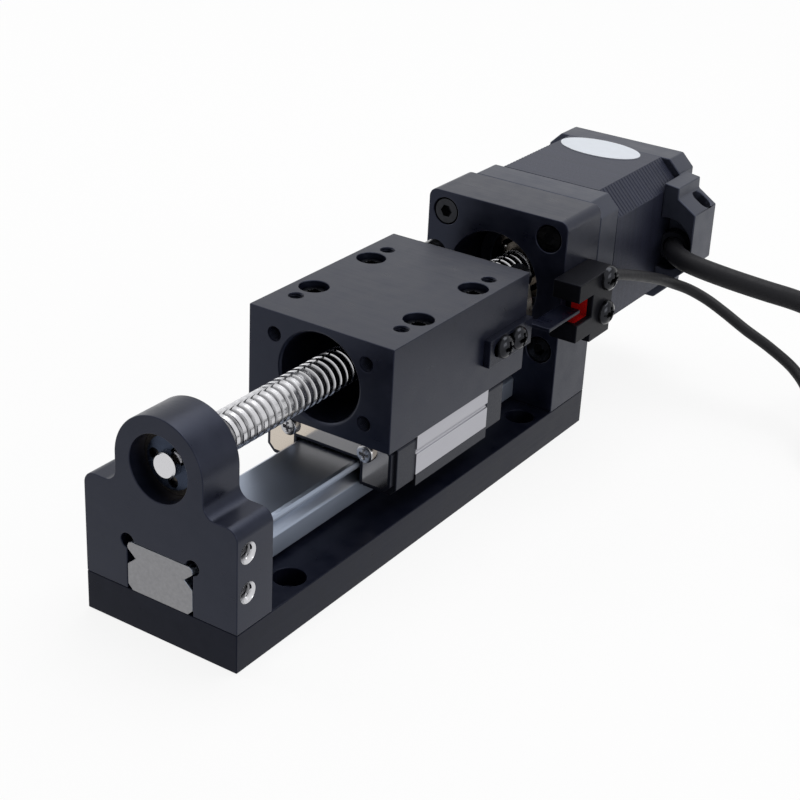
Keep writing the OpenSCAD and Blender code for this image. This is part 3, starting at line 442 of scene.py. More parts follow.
@dataclass(frozen=True)
class PlainMetal(Finish):
    """Small turned or plated metal parts with light mottling."""

    color: Color
    rough: float = 0.25
    metallic: float = 1.0
    grain: float = 2500
    depth: float = 0.006 * MM

    def lay(self, s: Shader) -> None:
        """Sets the shader's inputs.

        Args:
            s: The shader.
        """
        mottle = s.noise(900, 4, 0.6)
        s.set(Base_Color=s.blend(s.remap(mottle, 0, 1), scaled(self.color, 0.7), self.color),
              Metallic=self.metallic, Roughness=s.remap(mottle, self.rough - 0.06, self.rough + 0.08),
              Normal=s.bump(s.noise(self.grain), self.depth, 0.5))


@dataclass(frozen=True)
class CutMouth(Finish):
    """A tapped hole's bright cut chamfer, with painted shade that darkens it down the thread, along X."""

    mouth: float = 17.1 * MM
    deep: float = 16.2 * MM
    bright: Color = (0.56, 0.56, 0.58)
    # painted shade: the dark colour stands for the shade inside the hole
    dark: Color = (0.045, 0.045, 0.05)

    def lay(self, s: Shader) -> None:
        """Sets the shader's inputs.

        Args:
            s: The shader.
        """
        turned_marks = s.noise((4000, 900, 900), 2)
        # share is 1 at the mouth and 0 at deep, where only the painted shade is left
        share = s.remap(s.where(0), 0, 1, self.deep, self.mouth)
        s.set(Base_Color=s.blend(share, self.dark, self.bright), Metallic=1.0,
              Roughness=s.remap(turned_marks, 0.16, 0.26), Normal=s.bump(turned_marks, 0.002 * MM, 0.4))


@dataclass(frozen=True)
class Moulded(Finish):
    """Moulded plastic or rubber with a fine spark-eroded grain."""

    color: Color
    rough: float = 0.45
    grain: float = 3200
    depth: float = 0.02 * MM
    level: float = 0.5
    tint: Color = BLUISH
    mottle: float = 1.35
    wear: float = 0.07

    def lay(self, s: Shader) -> None:
        """Sets the shader's inputs.

        Args:
            s: The shader.
        """
        grain = s.noise(self.grain, 2, 0.6)
        pale = scaled(self.color, self.mottle)
        s.set(Base_Color=s.blend(s.remap(s.noise(300, 4), 0, 1), self.color, pale),
              Roughness=s.remap(grain, self.rough - self.wear, self.rough + self.wear),
              Normal=s.bump(grain, self.depth, 0.6), Specular_IOR_Level=self.level, Specular_Tint=self.tint)


@dataclass(frozen=True)
class Sheath(Finish):
    """A cable's sheath: matt plastic with faint rings from the extruder along its own length."""

    color: Color
    rough: float = 0.5
    rings: float = 900
    level: float = 0.15
    ring_depth: float = 0.015 * MM
    grain_depth: float = 0.01 * MM

    def lay(self, s: Shader) -> None:
        """Sets the shader's inputs from the sweep's own map: U around and V along, in metres.

        Args:
            s: The shader.
        """
        mapping = s.add("ShaderNodeMapping")
        mapping.inputs["Scale"].default_value = (3, self.rings, 1)
        s.links.new(s.add("ShaderNodeUVMap", uv_map="along").outputs["UV"], mapping.inputs["Vector"])
        rings = s.add("ShaderNodeTexNoise")
        rings.inputs["Scale"].default_value = 1
        s.links.new(mapping.outputs["Vector"], rings.inputs["Vector"])
        ring = rings.outputs["Fac"]
        grain = s.noise(3500, 2)
        s.set(Base_Color=s.blend(s.remap(grain, 0, 1), self.color, scaled(self.color, 1.3)),
              Roughness=s.remap(ring, self.rough - 0.05, self.rough + 0.08), Specular_IOR_Level=self.level,
              Normal=s.bump(ring, self.ring_depth, 0.3, s.bump(grain, self.grain_depth, 0.5)))


@dataclass(frozen=True)
class Laminated(Finish):
    """The motor's stack of dark sheets, with a faint line at each sheet."""

    color: Color = (0.006, 0.0065, 0.012)
    pitch: float = 0.5 * MM
    level: float = 0.42
    sheet_depth: float = 0.03 * MM
    grain_depth: float = 0.01 * MM

    def lay(self, s: Shader) -> None:
        """Sets the shader's inputs.

        Args:
            s: The shader.
        """
        sheet = s.noise((30, 1 / self.pitch, 30), 2, 0.6)
        grain = s.noise(3500)
        s.set(Base_Color=s.blend(s.remap(sheet, 0, 1, 0.35, 0.65), self.color, scaled(self.color, 1.9)),
              Roughness=s.remap(grain, 0.4, 0.52), Specular_IOR_Level=self.level, Specular_Tint=BLUISH,
              Normal=s.bump(sheet, self.sheet_depth, 0.5, s.bump(grain, self.grain_depth, 0.5)))


@dataclass(frozen=True)
class Film(Finish):
    """White sticker film with a slight gloss."""

    color: Color = (0.68, 0.72, 0.78)

    def lay(self, s: Shader) -> None:
        """Sets the shader's inputs.

        Args:
            s: The shader.
        """
        soft = s.noise(500)
        s.set(Base_Color=s.blend(s.remap(soft, 0, 1), scaled(self.color, 0.95), self.color),
              Roughness=s.remap(soft, 0.32, 0.42), Normal=s.bump(soft, 0.01 * MM, 0.3))


FINISHES = {finish.name: finish for finish in (
    Anodised("anodised_black"),
    Anodised("base_anodised", lines_along=1, level=0.12),
    Anodised("bell_metal", (0.009, 0.010, 0.015), 0.4, 3800, 0.15, level=0.55),
    Anodised("flag_black", rough=0.3, level=0.22),
    # painted shade: a darker copy of the anodised black, with less specular, for the threads inside tapped holes
    Anodised("tap_black_shaded", level=0.1),
    CutMouth("tap_bright_shaded"),
    GroundSteel("ground_steel", (0.30, 0.34, 0.42), ends=True, flank=0.22),
    GroundSteel("carriage_steel", (0.41, 0.41, 0.445)),
    GroundSteel("seal_steel", (0.58, 0.52, 0.45), 0.15, 0),
    PolishedSteel("screw_steel"),
    PlainMetal("black_oxide", (0.026, 0.027, 0.031), 0.17, 0.95),
    PlainMetal("nickel_screws", (0.50, 0.50, 0.52), 0.22),
    PlainMetal("bearing_steel", (0.13, 0.115, 0.10), 0.18),
    PlainMetal("ball_steel", (0.72, 0.72, 0.74), 0.08),
    PlainMetal("shield", (0.03, 0.03, 0.033), 0.35),
    PlainMetal("blue_steel", (0.035, 0.045, 0.07), 0.25),
    PlainMetal("nut_steel", (0.20, 0.19, 0.17), 0.3),
    PlainMetal("copper", (0.60, 0.25, 0.10), 0.3),
    PlainMetal("magnet", (0.16, 0.16, 0.17), 0.5, 0.6),
    Laminated("lamination"),
    Film("label"),
    Moulded("grommet", (0.006, 0.006, 0.007), 0.5, level=0.2),
    Moulded("plug_white", (0.72, 0.70, 0.64), 0.4, tint=WHITE, mottle=1.04),
    Moulded("sensor_case", (0.003, 0.003, 0.004), 0.35, level=0.1),
    Moulded("sensor_red", (0.36, 0.006, 0.006), 0.25, depth=0.004 * MM, level=0.3, tint=WHITE),
    Moulded("cap_black", (0.003, 0.003, 0.004), 0.4, level=0.35),
    Moulded("wiper", (0.01, 0.01, 0.01), 0.5, level=0.2),
    Sheath("motor_cord", (0.010, 0.010, 0.012)),
    Sheath("sensor_cord", (0.011, 0.011, 0.013), level=0.22),
)}


@cache
def material_of(name: str) -> bpy.types.Material:
    """The material of a finish, made when it is first asked for."""
    return FINISHES[name].material()


def dress(piece: Piece, name: str) -> None:
    """Gives a piece one finish all over, by the finish's name."""
    piece.data.materials.clear()
    piece.data.materials.append(material_of(name))


# ---------------- mesh building


def show(name: str, data: bpy.types.ID) -> bpy.types.Object:
    """Makes an object and links it to the scene.

    Args:
        name: The object's name.
        data: Its mesh, camera or light.

    Returns:
        The object.
    """
    made = bpy.data.objects.new(name, data)
    bpy.context.scene.collection.objects.link(made)
    return made


def new_piece(name: str, vertices: Points, faces: list, body: Body, slot: str, smooth: bool = True,
              finish: str = "") -> Piece:
    """Makes a piece from points and faces, and sets it riding on its body.

    Args:
        name: The piece's name.
        vertices: The points, one row each.
        faces: The faces as rows of point numbers.
        body: The body it rides on.
        slot: The record's slot of its finish.
        smooth: Whether its faces are shaded smooth.
        finish: The name of a special finish, where it isn't the slot's.

    Returns:
        The piece.
    """
    mesh = bpy.data.meshes.new(name)
    mesh.from_pydata(np.asarray(vertices).tolist(), [], faces)
    mesh.update()
    if smooth:
        mesh.shade_smooth()
    piece = show(name, mesh)
    dress(piece, finish or slot)
    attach(piece, body.value)
    return piece


def grid_faces(rows: int, columns: int, looped: bool = False) -> np.ndarray:
    """Four-sided faces of a grid of rings, that face outwards from rings that turn anticlockwise.

    Args:
        rows: The number of rings.
        columns: The number of points in a ring.
        looped: Whether the last ring joins the first.

    Returns:
        The faces, one row of four point numbers each.
    """
    i, j = np.meshgrid(np.arange(rows if looped else rows - 1), np.arange(columns), indexing="ij")
    k = (j + 1) % columns
    up = (i + 1) % rows
    return np.stack([i * columns + j, i * columns + k, up * columns + k, up * columns + j], -1).reshape(-1, 4)


def solid_of_rows(rows: Points) -> tuple[Points, list]:
    """A closed skin over rings of points, with a fan from the middle of the first ring and of the last.

    Args:
        rows: The rings, as an array of ring, point and coordinate.

    Returns:
        The points and the faces.
    """
    count, columns = rows.shape[:2]
    points = np.concatenate([rows.reshape(-1, 3), rows[0].mean(0)[None], rows[-1].mean(0)[None]])
    faces = grid_faces(count, columns).tolist()
    j = np.arange(columns)
    k = (j + 1) % columns
    middle = count * columns
    faces += np.stack([k, j, np.full(columns, middle)], -1).tolist()
    last = (count - 1) * columns
    faces += np.stack([last + j, last + k, np.full(columns, middle + 1)], -1).tolist()
    return points, faces


def turned(place: tuple, axis: tuple, height: Points, radius: Points, angle: Points) -> Points:
    """Points around an axis: the place, plus a height along the axis, plus a radius at an angle across it.

    Args:
        place: The point on the axis where the height is nought.
        axis: The axis, one unit long.
        height: Heights along the axis.
        radius: Distances from the axis.
        angle: Angles about the axis, anticlockwise seen from its tip.

    Returns:
        The points.
    """
    axis = np.array(axis, float)
    across = np.cross(axis, np.roll(axis, 1))
    beside = np.cross(axis, across)
    height, radius, angle = (x[..., None] for x in np.broadcast_arrays(height, radius, angle))
    return np.array(place) + height * axis + radius * (np.cos(angle) * across + np.sin(angle) * beside)


def circle(columns: int) -> Points:
    """Even angles once round from nought, without the last."""
    return np.linspace(0, 2 * math.pi, columns, endpoint=False)


def runs(path: Points) -> Points:
    """How far along a path each of its points lies: the running sum of the steps between them."""
    return np.concatenate([[0], np.cumsum(np.linalg.norm(np.diff(path, axis=0), axis=1))])


def eased(share: Points) -> Points:
    """A share held to 0 and 1 that leaves and reaches them gently: thrice its square less twice its cube."""
    held = np.clip(share, 0, 1)
    return held * held * (3 - 2 * held)


def smooth_path(points: Points, step: float, parts: int = 24) -> Points:
    """A Catmull-Rom curve through points, laid out again at even steps.

    Each stretch between two points is the cubic whose slope at each end is half the step between that end's
    neighbours.

    Args:
        points: The points.
        step: The distance between points of the result.
        parts: The points worked out between two given ones, before the even steps.

    Returns:
        The points along the curve.
    """
    ends = np.concatenate([2 * points[:1] - points[1:2], points, 2 * points[-1:] - points[-2:-1]])
    t = np.linspace(0, 1, parts, endpoint=False)[None, :, None]
    a, b, c, d = (ends[i:len(ends) - 3 + i][:, None] for i in range(4))
    curve = 0.5 * (2 * b + (c - a) * t + (2 * a - 5 * b + 4 * c - d) * t**2 + (3 * b - a - 3 * c + d) * t**3)
    curve = np.concatenate([curve.reshape(-1, 3), points[-1:]])
    run = runs(curve)
    even = np.linspace(0, run[-1], max(2, round(run[-1] / step)) + 1)
    return np.stack([np.interp(even, run, curve[:, k]) for k in range(3)], -1)


def sweep(path: Points, radius: float, columns: int) -> Points:
    """Rings of a round tube along a path: each lies across the path, with its first point level beside it.

    Args:
        path: The path's points.
        radius: The tube's radius.
        columns: The points in a ring.

    Returns:
        The rings, as an array of ring, point and coordinate.
    """
    way = np.gradient(path, axis=0)
    way /= np.linalg.norm(way, axis=1)[:, None]
    side = np.cross(way, [0, 0, 1])
    side /= np.linalg.norm(side, axis=1)[:, None]
    rise = np.cross(side, way)
    angle = circle(columns)[None, :, None]
    return path[:, None] + radius * (np.cos(angle) * side[:, None] + np.sin(angle) * rise[:, None])


def map_along(piece: Piece, path: Points, columns: int) -> None:
    """Gives a swept tube a map with U around it and V along it in metres.

    Args:
        piece: The tube.
        path: The path that it follows.
        columns: The points in a ring.
    """
    mesh = piece.data
    layer = mesh.uv_layers.new(name="along")
    index = np.empty(len(mesh.loops), np.int32)
    mesh.loops.foreach_get("vertex_index", index)
    row = np.minimum(index // columns, len(path) - 1)
    flat = np.stack([(index % columns) / columns, runs(path)[row]], -1)
    layer.data.foreach_set("uv", flat.astype(np.float32).ravel())


def merged_copy(node: str, name: str) -> Piece:
    """A copy of a node's mesh as one piece, its triangles joined and its flat faces made whole.

    Args:
        node: The node's name.
        name: The copy's name.

    Returns:
        The copy, which rides on nothing yet.
    """
    mesh = bpy.data.meshes.new(name)
    work = bmesh.new()
    work.from_mesh(frame["nodes"][node].data)
    bmesh.ops.remove_doubles(work, verts=work.verts, dist=MERGE)
    bmesh.ops.dissolve_limit(work, angle_limit=FLAT, verts=work.verts, edges=work.edges)
    work.to_mesh(mesh)
    work.free()
    return show(name, mesh)


@dataclass
class Rounded:
    """A node shown with its real small edge radii: a joined copy of its mesh with a bevel and even shading."""

    node: str
    width: float = 0.2
    segments: int = 2
    angle: float = 35
    curved: bool = True
    finish: str = ""

    def build(self) -> Piece:
        """Makes the piece, sets it riding and lets it stand for its node.

        Returns:
            The piece.
        """
        piece = merged_copy(self.node, f"{self.node}_edged")
        dress(piece, self.finish or SLOTS[self.node])
        self.detail(piece)
        if self.curved:
            piece.data.shade_smooth()
        else:
            piece.data.shade_flat()
        bevel = piece.modifiers.new("edges", "BEVEL")
        bevel.limit_method = "ANGLE"
        bevel.angle_limit = math.radians(self.angle)
        bevel.width = self.width * MM
        bevel.segments = self.segments
        bevel.use_clamp_overlap = False
        if self.curved:
            piece.modifiers.new("flat_faces", "WEIGHTED_NORMAL").weight = 100
        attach(piece, BODIES[self.node].value)
        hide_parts(self.node)
        return piece

    def detail(self, piece: Piece) -> None:
        """Adds what one kind of piece has besides its edges: nothing here."""


@dataclass
class EndSeal(Rounded):
    """An end seal: a black body with a bright plate set into its outer face, a rim's width in from its edge."""

    outward: float = -1
    rim: float = 0.65
    hole_x: float = 9.3
    hole_z: float = 20.4
    hole_radius: float = 1.15
    gap: float = 0.03
    slack: float = 0.05
    straight: float = 0.99

    def detail(self, piece: Piece) -> None:
        """Sets the plate's outline into the outer face and gives the rest the black finish.

        Args:
            piece: The piece.
        """
        piece.data.materials.append(piece.data.materials[0])
        piece.data.materials[0] = material_of("cap_black")
        work = bmesh.new()
        work.from_mesh(piece.data)
        outer = [face for face in work.faces if face.normal.y * self.outward > self.straight]
        bmesh.ops.inset_region(work, faces=outer, thickness=self.rim * MM, use_even_offset=True)
        for face in work.faces:
            face.material_index = int(face in outer)
        work.to_mesh(piece.data)
        work.free()
        self.trim_holes(piece.data)

    def trim_holes(self, mesh: bpy.types.Mesh) -> None:
        """Brings the plate's edge back to its two screw holes, since it has no rim there.

        Each point of the outer face that lies a rim's width outside a hole moves towards the hole's middle.

        Args:
            mesh: The end seal's mesh.
        """
        place = np.empty((len(mesh.vertices), 3), np.float32)
        mesh.vertices.foreach_get("co", place.ravel())
        middle = np.stack([np.copysign(self.hole_x, place[:, 0]), np.full(len(place), self.hole_z)], -1) * MM
        away = place[:, ::2] - middle
        reach = np.linalg.norm(away, axis=1)
        out = place[:, 1] * self.outward
        edge = (abs(reach - (self.hole_radius + self.rim) * MM) < self.slack * MM) & (out > out.max() - self.slack * MM)
        share = (self.hole_radius + self.gap) * MM / reach[edge]
        place[edge, ::2] = middle[edge] + away[edge] * share[:, None]
        mesh.vertices.foreach_set("co", place.ravel())
        mesh.update()


# ---------------- camera and cords


@dataclass
class Viewpoint:
    """The camera: where it stands, where it looks and how long its lens is."""

    place: Triple = (0.17280, -0.25822, 0.17840)
    azimuth: float = 32.506
    elevation: float = 26.360
    roll: float = 3.0885
    lens: float = 77.28
    sensor_width: float = 36
    reach: Pair = (0.01, 20)

    def build(self) -> None:
        """Makes the camera and gives it to the scene."""
        a, e, r = (math.radians(x) for x in (self.azimuth, self.elevation, self.roll))
        back = Vector((math.sin(a) * math.cos(e), -math.cos(a) * math.cos(e), math.sin(e)))
        right = Vector((math.cos(a), math.sin(a), 0))
        up = back.cross(right)
        level = math.cos(r) * right + math.sin(r) * up
        upright = -math.sin(r) * right + math.cos(r) * up
        data = bpy.data.cameras.new("camera")
        data.lens, data.sensor_width = self.lens, self.sensor_width
        data.clip_start, data.clip_end = self.reach
        camera = show("camera", data)
        camera.matrix_world = Matrix.Translation(self.place) @ Matrix((level, upright, back)).transposed().to_4x4()
        bpy.context.scene.camera = camera


@dataclass
class Cord:
    """A cable: its route to the coil, the coil's own turns and its tail, as one swept tube.

    The route and the tail are in millimetres.
    """

    name: str
    diameter: float
    route: list[Triple]
    tail: list[Triple]
    nodes: tuple[str, ...]
    plug: str
    gland: str
    columns: int = 16
    step: float = 0.35
    centre: Pair = (0, 0)

    def turns(self) -> Points:
        """The coil's centre line in millimetres, worked out by each kind of coil."""
        raise NotImplementedError

    def wound(self, radius: float | Points, angle: Points, level: Points) -> Points:
        """Points about the coil's middle, clockwise from its highest Y.

        Args:
            radius: Distances from the middle in millimetres.
            angle: Angles in degrees.
            level: Heights in diameters of the cable.

        Returns:
            The points in millimetres.
        """
        turn = np.radians(90 - angle)
        return np.stack([self.centre[0] + radius * np.cos(turn), self.centre[1] + radius * np.sin(turn),
                         self.diameter * (level + 0.5)], -1)

    def path(self) -> Points:
        """The whole centre line in metres: the route, the coil and the tail as one curve."""
        parts = [np.array(self.route[:-1], float), self.turns(), np.array(self.tail[1:], float)]
        return smooth_path(np.concatenate(parts) * MM, self.step * self.diameter * MM)

    def build(self) -> Piece:
        """Returns:
            The cable.
        """
        path = self.path()
        points, faces = solid_of_rows(sweep(path, self.diameter / 2 * MM, self.columns))
        piece = new_piece(self.name, points, faces, Body.FRAME, SLOTS[self.nodes[0]])
        map_along(piece, path, self.columns)
        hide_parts(*self.nodes)
        return piece


@dataclass
class StackedCord(Cord):
    """A cable wound in a ring with each turn on the one below, all climbing in the same short stretch."""

    radius: float = 0
    whole_turns: float = 2.25
    climb: Pair = (300, 345)

    def turns(self) -> Points:
        """The ring's centre line: clockwise from its highest Y, a diameter higher after the climb in each turn.

        Returns:
            The points in millimetres.
        """
        start, end = self.climb
        angle = np.arange(0, self.whole_turns * 360 + 1, WINDING_STEP)
        return self.wound(self.radius, angle, angle // 360 + eased((angle % 360 - start) / (end - start)))


@dataclass
class FlatCord(Cord):
    """A cable wound in a flat spiral inwards and a second one outwards on top of it."""

    inner: float = 0
    outer: float = 0
    layer_turns: int = 5
    climb: float = 120

    def turns(self) -> Points:
        """The spirals' centre line: clockwise from its highest Y, inwards, up within the climb, and outwards.

        Returns:
            The points in millimetres.
        """
        winding = 360.0 * self.layer_turns
        angle = np.arange(0, 2 * winding + self.climb + 1, WINDING_STEP)
        closing = np.clip(angle / winding, 0, 1) - np.clip((angle - winding - self.climb) / winding, 0, 1)
        radius = self.outer - (self.outer - self.inner) * closing
        return self.wound(radius, angle, eased((angle - winding) / self.climb))


MOTOR_CORD = StackedCord(
    name="motor_lead", diameter=4.8,
    route=[(20.3, 102, 33.6), (20.3, 100.1, 33.6), (21.1, 96.3, 33.6), (23.2, 93.1, 33.6), (26.4, 90.9, 33.5),
           (30.3, 90.1, 33.2), (35.2, 90.5, 32.5), (40.5, 91.6, 31.6), (46.5, 93.6, 30.4), (52, 96.1, 29.1),
           (56.7, 99.3, 27), (60.1, 103.5, 23.7), (62.1, 108, 19.4), (63.4, 112.4, 14.6), (65.3, 116.7, 9.9),
           (68.4, 120.4, 6), (72.8, 123.2, 3.4), (78.4, 124.4, 2.4), (85.5, 124.5, 2.4), (93, 124.5, 2.4)],
    tail=[(120.5, 97, 12), (119.3, 90.9, 12), (115.8, 85.7, 11.6), (110.6, 82.2, 10.3), (104.5, 81, 8.4),
          (98.4, 82.2, 6.3), (93.2, 85.7, 4.4), (89.7, 90.9, 2.9), (88.5, 97, 2.4)],
    nodes=("motor_cable", "motor_cable_coil", "motor_cable_tail"), plug="motor_plug", gland="cable_grommet",
    centre=(93, 97), radius=27.5, columns=20)
SENSOR_CORD = FlatCord(
    name="sensor_lead", diameter=2.6,
    route=[(21.5, 58, 38.2), (21.6, 63, 37.5), (21.9, 68, 36), (22.2, 74, 34), (22.6, 80, 31.8), (23.4, 86.5, 29.3),
           (24.8, 91, 27.2), (27.5, 94, 25.5), (31.5, 95.3, 23.7), (36, 95.5, 21.7), (42, 95.4, 18.9),
           (48.5, 95.2, 16.3), (55.5, 93.6, 13.5), (60.9, 89.8, 10.8), (63.9, 84.6, 8.2), (66.6, 79.4, 5.8),
           (70, 74.8, 3.8), (75.5, 70.6, 2.2), (82, 67.4, 1.4), (89, 65.6, 1.3), (97, 65, 1.3), (105, 65, 1.3)],
    tail=[(122.3, 35, 3.9), (120, 31.1, 3.9), (117.8, 27.2, 3.9), (115.4, 23.5, 3.2), (112.2, 20.5, 2.2),
          (108, 18.8, 1.5), (103.5, 18.3, 1.3)],
    nodes=("sensor_cable", "sensor_cable_coil", "sensor_cable_tail"), plug="sensor_plug", gland="sensor_sleeve",
    centre=(105, 45), inner=7, outer=20)


# ---------------- screw and motor


@dataclass
class BallScrew:
    """The screw in one closed skin: front journal with its clip groove, collar, rolled thread and plain shaft."""

    start: float = -54.8
    lead: float = 2.0
    first: float = -52.6
    last: float = 57.8
    crest: float = 3.98
    depth: float = 0.4
    land: Pair = (0.02, 0.24)
    groove_from: float = 0.475
    columns: int = 64
    groove_rings: int = 12
    front: tuple = ((-61.6, 2.2), (-61.3, 2.5), (-59.85, 2.5), (-59.85, 2.0), (-59.15, 2.0), (-59.15, 2.5),
                    (-55.0, 2.5), (-55.0, 3.8), (-54.8, 4.0), (-52.6, 4.0))
    rear: tuple = ((57.8, 4.0), (100.5, 4.0), (100.5, 2.5), (107.5, 2.5), (107.8, 2.2))

    def lathe(self, steps: tuple) -> Points:
        """Rings of a turned stretch: for each height and radius, a circle about the axis.

        Args:
            steps: Pairs of the place along the screw and the radius, in millimetres.

        Returns:
            The rings in millimetres.
        """
        angle = circle(self.columns)[None]
        y, r = np.array(steps).T[:, :, None]
        return np.stack([r * np.sin(angle), y + 0 * angle, AXIS_Z / MM + r * np.cos(angle)], -1)

    def thread(self) -> Points:
        """Rings of the right-hand thread.

        Each ring climbs one lead in its own turn, so every ring is one helix. Over one lead the radius is the
        crest's, then falls and rises again as a parabola across the groove. The ends are cut off square.

        Returns:
            The rings in millimetres.
        """
        groove = np.linspace(self.groove_from, 1, self.groove_rings)
        share = np.concatenate([self.land, groove])
        across = np.clip((share - self.groove_from) / (1 - self.groove_from), 0, 1)
        radius = self.crest - self.depth * 4 * across * (1 - across)
        turns = np.arange(math.floor((self.first - self.start) / self.lead) - 1,
                          math.ceil((self.last - self.start) / self.lead) + 1)
        along = (turns[:, None] + share[None]).ravel()
        radius = np.tile(radius, len(turns))[:, None]
        angle = circle(self.columns)[None]
        y = np.clip(self.start + self.lead * (along[:, None] + angle / (2 * math.pi)), self.first, self.last)
        return np.stack([radius * np.sin(angle), y, AXIS_Z / MM + radius * np.cos(angle)], -1)

    def build(self) -> Piece:
        """Makes the screw and lets it stand for its node.

        Returns:
            The screw.
        """
        rings = np.concatenate([self.lathe(self.front), self.thread(), self.lathe(self.rear)]) * MM
        points, faces = solid_of_rows(rings[:, ::-1])
        piece = new_piece("rolled_screw", points, faces, Body.SCREW, "screw_steel")
        piece.data.set_sharp_from_angle(angle=math.radians(32))
        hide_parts("ball_screw")
        return piece


@dataclass
class TappedHoles:
    """Threads in the mouths of tapped holes: in each a thin sleeve with a helix inside, in millimetres."""

    name: str
    slot: str
    body: Body
    mouths: list[Triple]
    axis: Triple
    # by default the threads take the darker anodised copy, which paints shade inside the holes
    finish: str = "tap_black_shaded"
    radius: float = 1.5
    pitch: float = 0.5
    depth: float = 5.0
    flare: float = 0.0
    skin: float = 0.02
    rise: float = 0.54
    rings_per_pitch: int = 6
    columns: int = 32

    def build(self) -> Piece:
        """Makes the sleeves as one piece.

        The wall lies a skin's thickness inside the hole, and the flare at its mouth is a cone. Inside, the radius
        falls and rises once in each pitch as a triangle, and its place moves on with the angle.

        Returns:
            The piece.
        """
        angle = circle(self.columns)[None]
        down = np.arange(self.flare + self.pitch / 2, self.depth, self.pitch / self.rings_per_pitch)[:, None]
        wave = np.abs(2 * ((down / self.pitch + angle / (2 * math.pi)) % 1) - 1)
        wall = self.radius - self.skin / 4
        inner = self.radius - self.skin - self.rise * self.pitch * (1 - wave)
        rims = np.array([[self.depth, wall], [self.flare, wall], [0, wall + self.flare],
                         [0, wall + self.flare - self.skin], [self.flare, wall - self.skin]])
        height = -np.concatenate([rims[:, :1] + 0 * angle, down + 0 * angle])
        radius = np.concatenate([rims[:, 1:] + 0 * angle, inner])
        rows = [turned(mouth, self.axis, height, radius, angle) for mouth in self.mouths]
        faces = grid_faces(len(height), self.columns, looped=True)
        count = height.size
        every = (faces[None] + count * np.arange(len(rows))[:, None, None]).reshape(-1, 4)
        points = np.stack(rows).reshape(-1, 3) * MM
        piece = new_piece(self.name, points, every.tolist(), self.body, self.slot, finish=self.finish)
        piece.data.set_sharp_from_angle(angle=math.radians(30))
        return piece


@dataclass
class HeadedScrews:
    """Screws with a domed or flat head and a drive recess, each one closed skin, in millimetres."""

    node: str
    slot: str
    seats: list[Triple]
    axes: list[Triple]
    recess: Recess
    head: float
    height: float
    shank: float
    thread: float = 1.45
    rim: float = 0.25
    chamfer: float = 0.3
    bar: Pair = (0.15, 0.56)
    flats: float = 0.46
    slope: float = 0.05
    cut: float = 0.55
    columns: int = 60
    rings: int = 26
    tip: float = 0.8
    bevel: float = 0.9
    innermost: float = 0.02

    def sunk(self, x: Points, y: Points) -> Points:
        """How far the recess is cut at each point: 1 inside its outline, 0 outside, with a short slope.

        The cross is two bars, the hexagon is the middle of three pairs of parallel sides, all as shares of the
        head's radius.

        Args:
            x: The places across the head.
            y: The places across the head, square to x.

        Returns:
            The share of the recess's depth.
        """
        if self.recess is Recess.CROSS:
            wide, long = (share * self.head for share in self.bar)
            first = np.minimum(wide - np.abs(x), long - np.abs(y))
            inside = np.maximum(first, np.minimum(wide - np.abs(y), long - np.abs(x)))
        else:
            turn = np.radians([0, 60, 120])[:, None, None]
            inside = self.flats * self.head - np.abs(x * np.cos(turn) + y * np.sin(turn)).max(0)
        return np.clip(0.5 + inside / (self.slope * self.head), 0, 1)

    def skin(self) -> tuple[Points, Points, Points]:
        """Heights, radii and angles of the rings: up the shank, out under the head, and in over its top.

        A domed top is a quarter of an ellipse over a low rim. A flat top has a short bevel.

        Returns:
            The heights, the radii and the angles.
        """
        angle = circle(self.columns)[None]
        radius = np.linspace(1, self.innermost, self.rings)[:, None] * self.head
        share = radius / self.head
        if self.recess is Recess.CROSS:
            rim = self.rim * self.height
            top = rim + (self.height - rim) * np.sqrt(1 - share**2)
        else:
            top = np.minimum(self.height, self.bevel * self.height + (1 - share) * self.head)
        top = top - self.cut * self.height * self.sunk(radius * np.cos(angle), radius * np.sin(angle))
        below = np.array([[-self.shank, self.tip * self.thread], [self.chamfer - self.shank, self.thread],
                          [0, self.thread], [0, self.head]])
        height = np.concatenate([below[:, :1] + 0 * angle, np.maximum(top, self.chamfer)])
        return height, np.concatenate([below[:, 1:], radius]), angle

    def build(self) -> Piece:
        """Makes the screws as one piece that stands for their node.

        Returns:
            The piece.
        """
        height, radius, angle = self.skin()
        rows = [turned(seat, axis, height, radius, angle) for seat, axis in zip(self.seats, self.axes, strict=True)]
        skins, sides = zip(*map(solid_of_rows, rows))
        faces = [[index + k * len(skins[0]) for index in face] for k, side in enumerate(sides) for face in side]
        points = np.concatenate(skins) * MM
        piece = new_piece(f"{self.node}_headed", points, faces, BODIES[self.node], self.slot)
        piece.data.set_sharp_from_angle(angle=math.radians(40))
        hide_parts(self.node)
        return piece


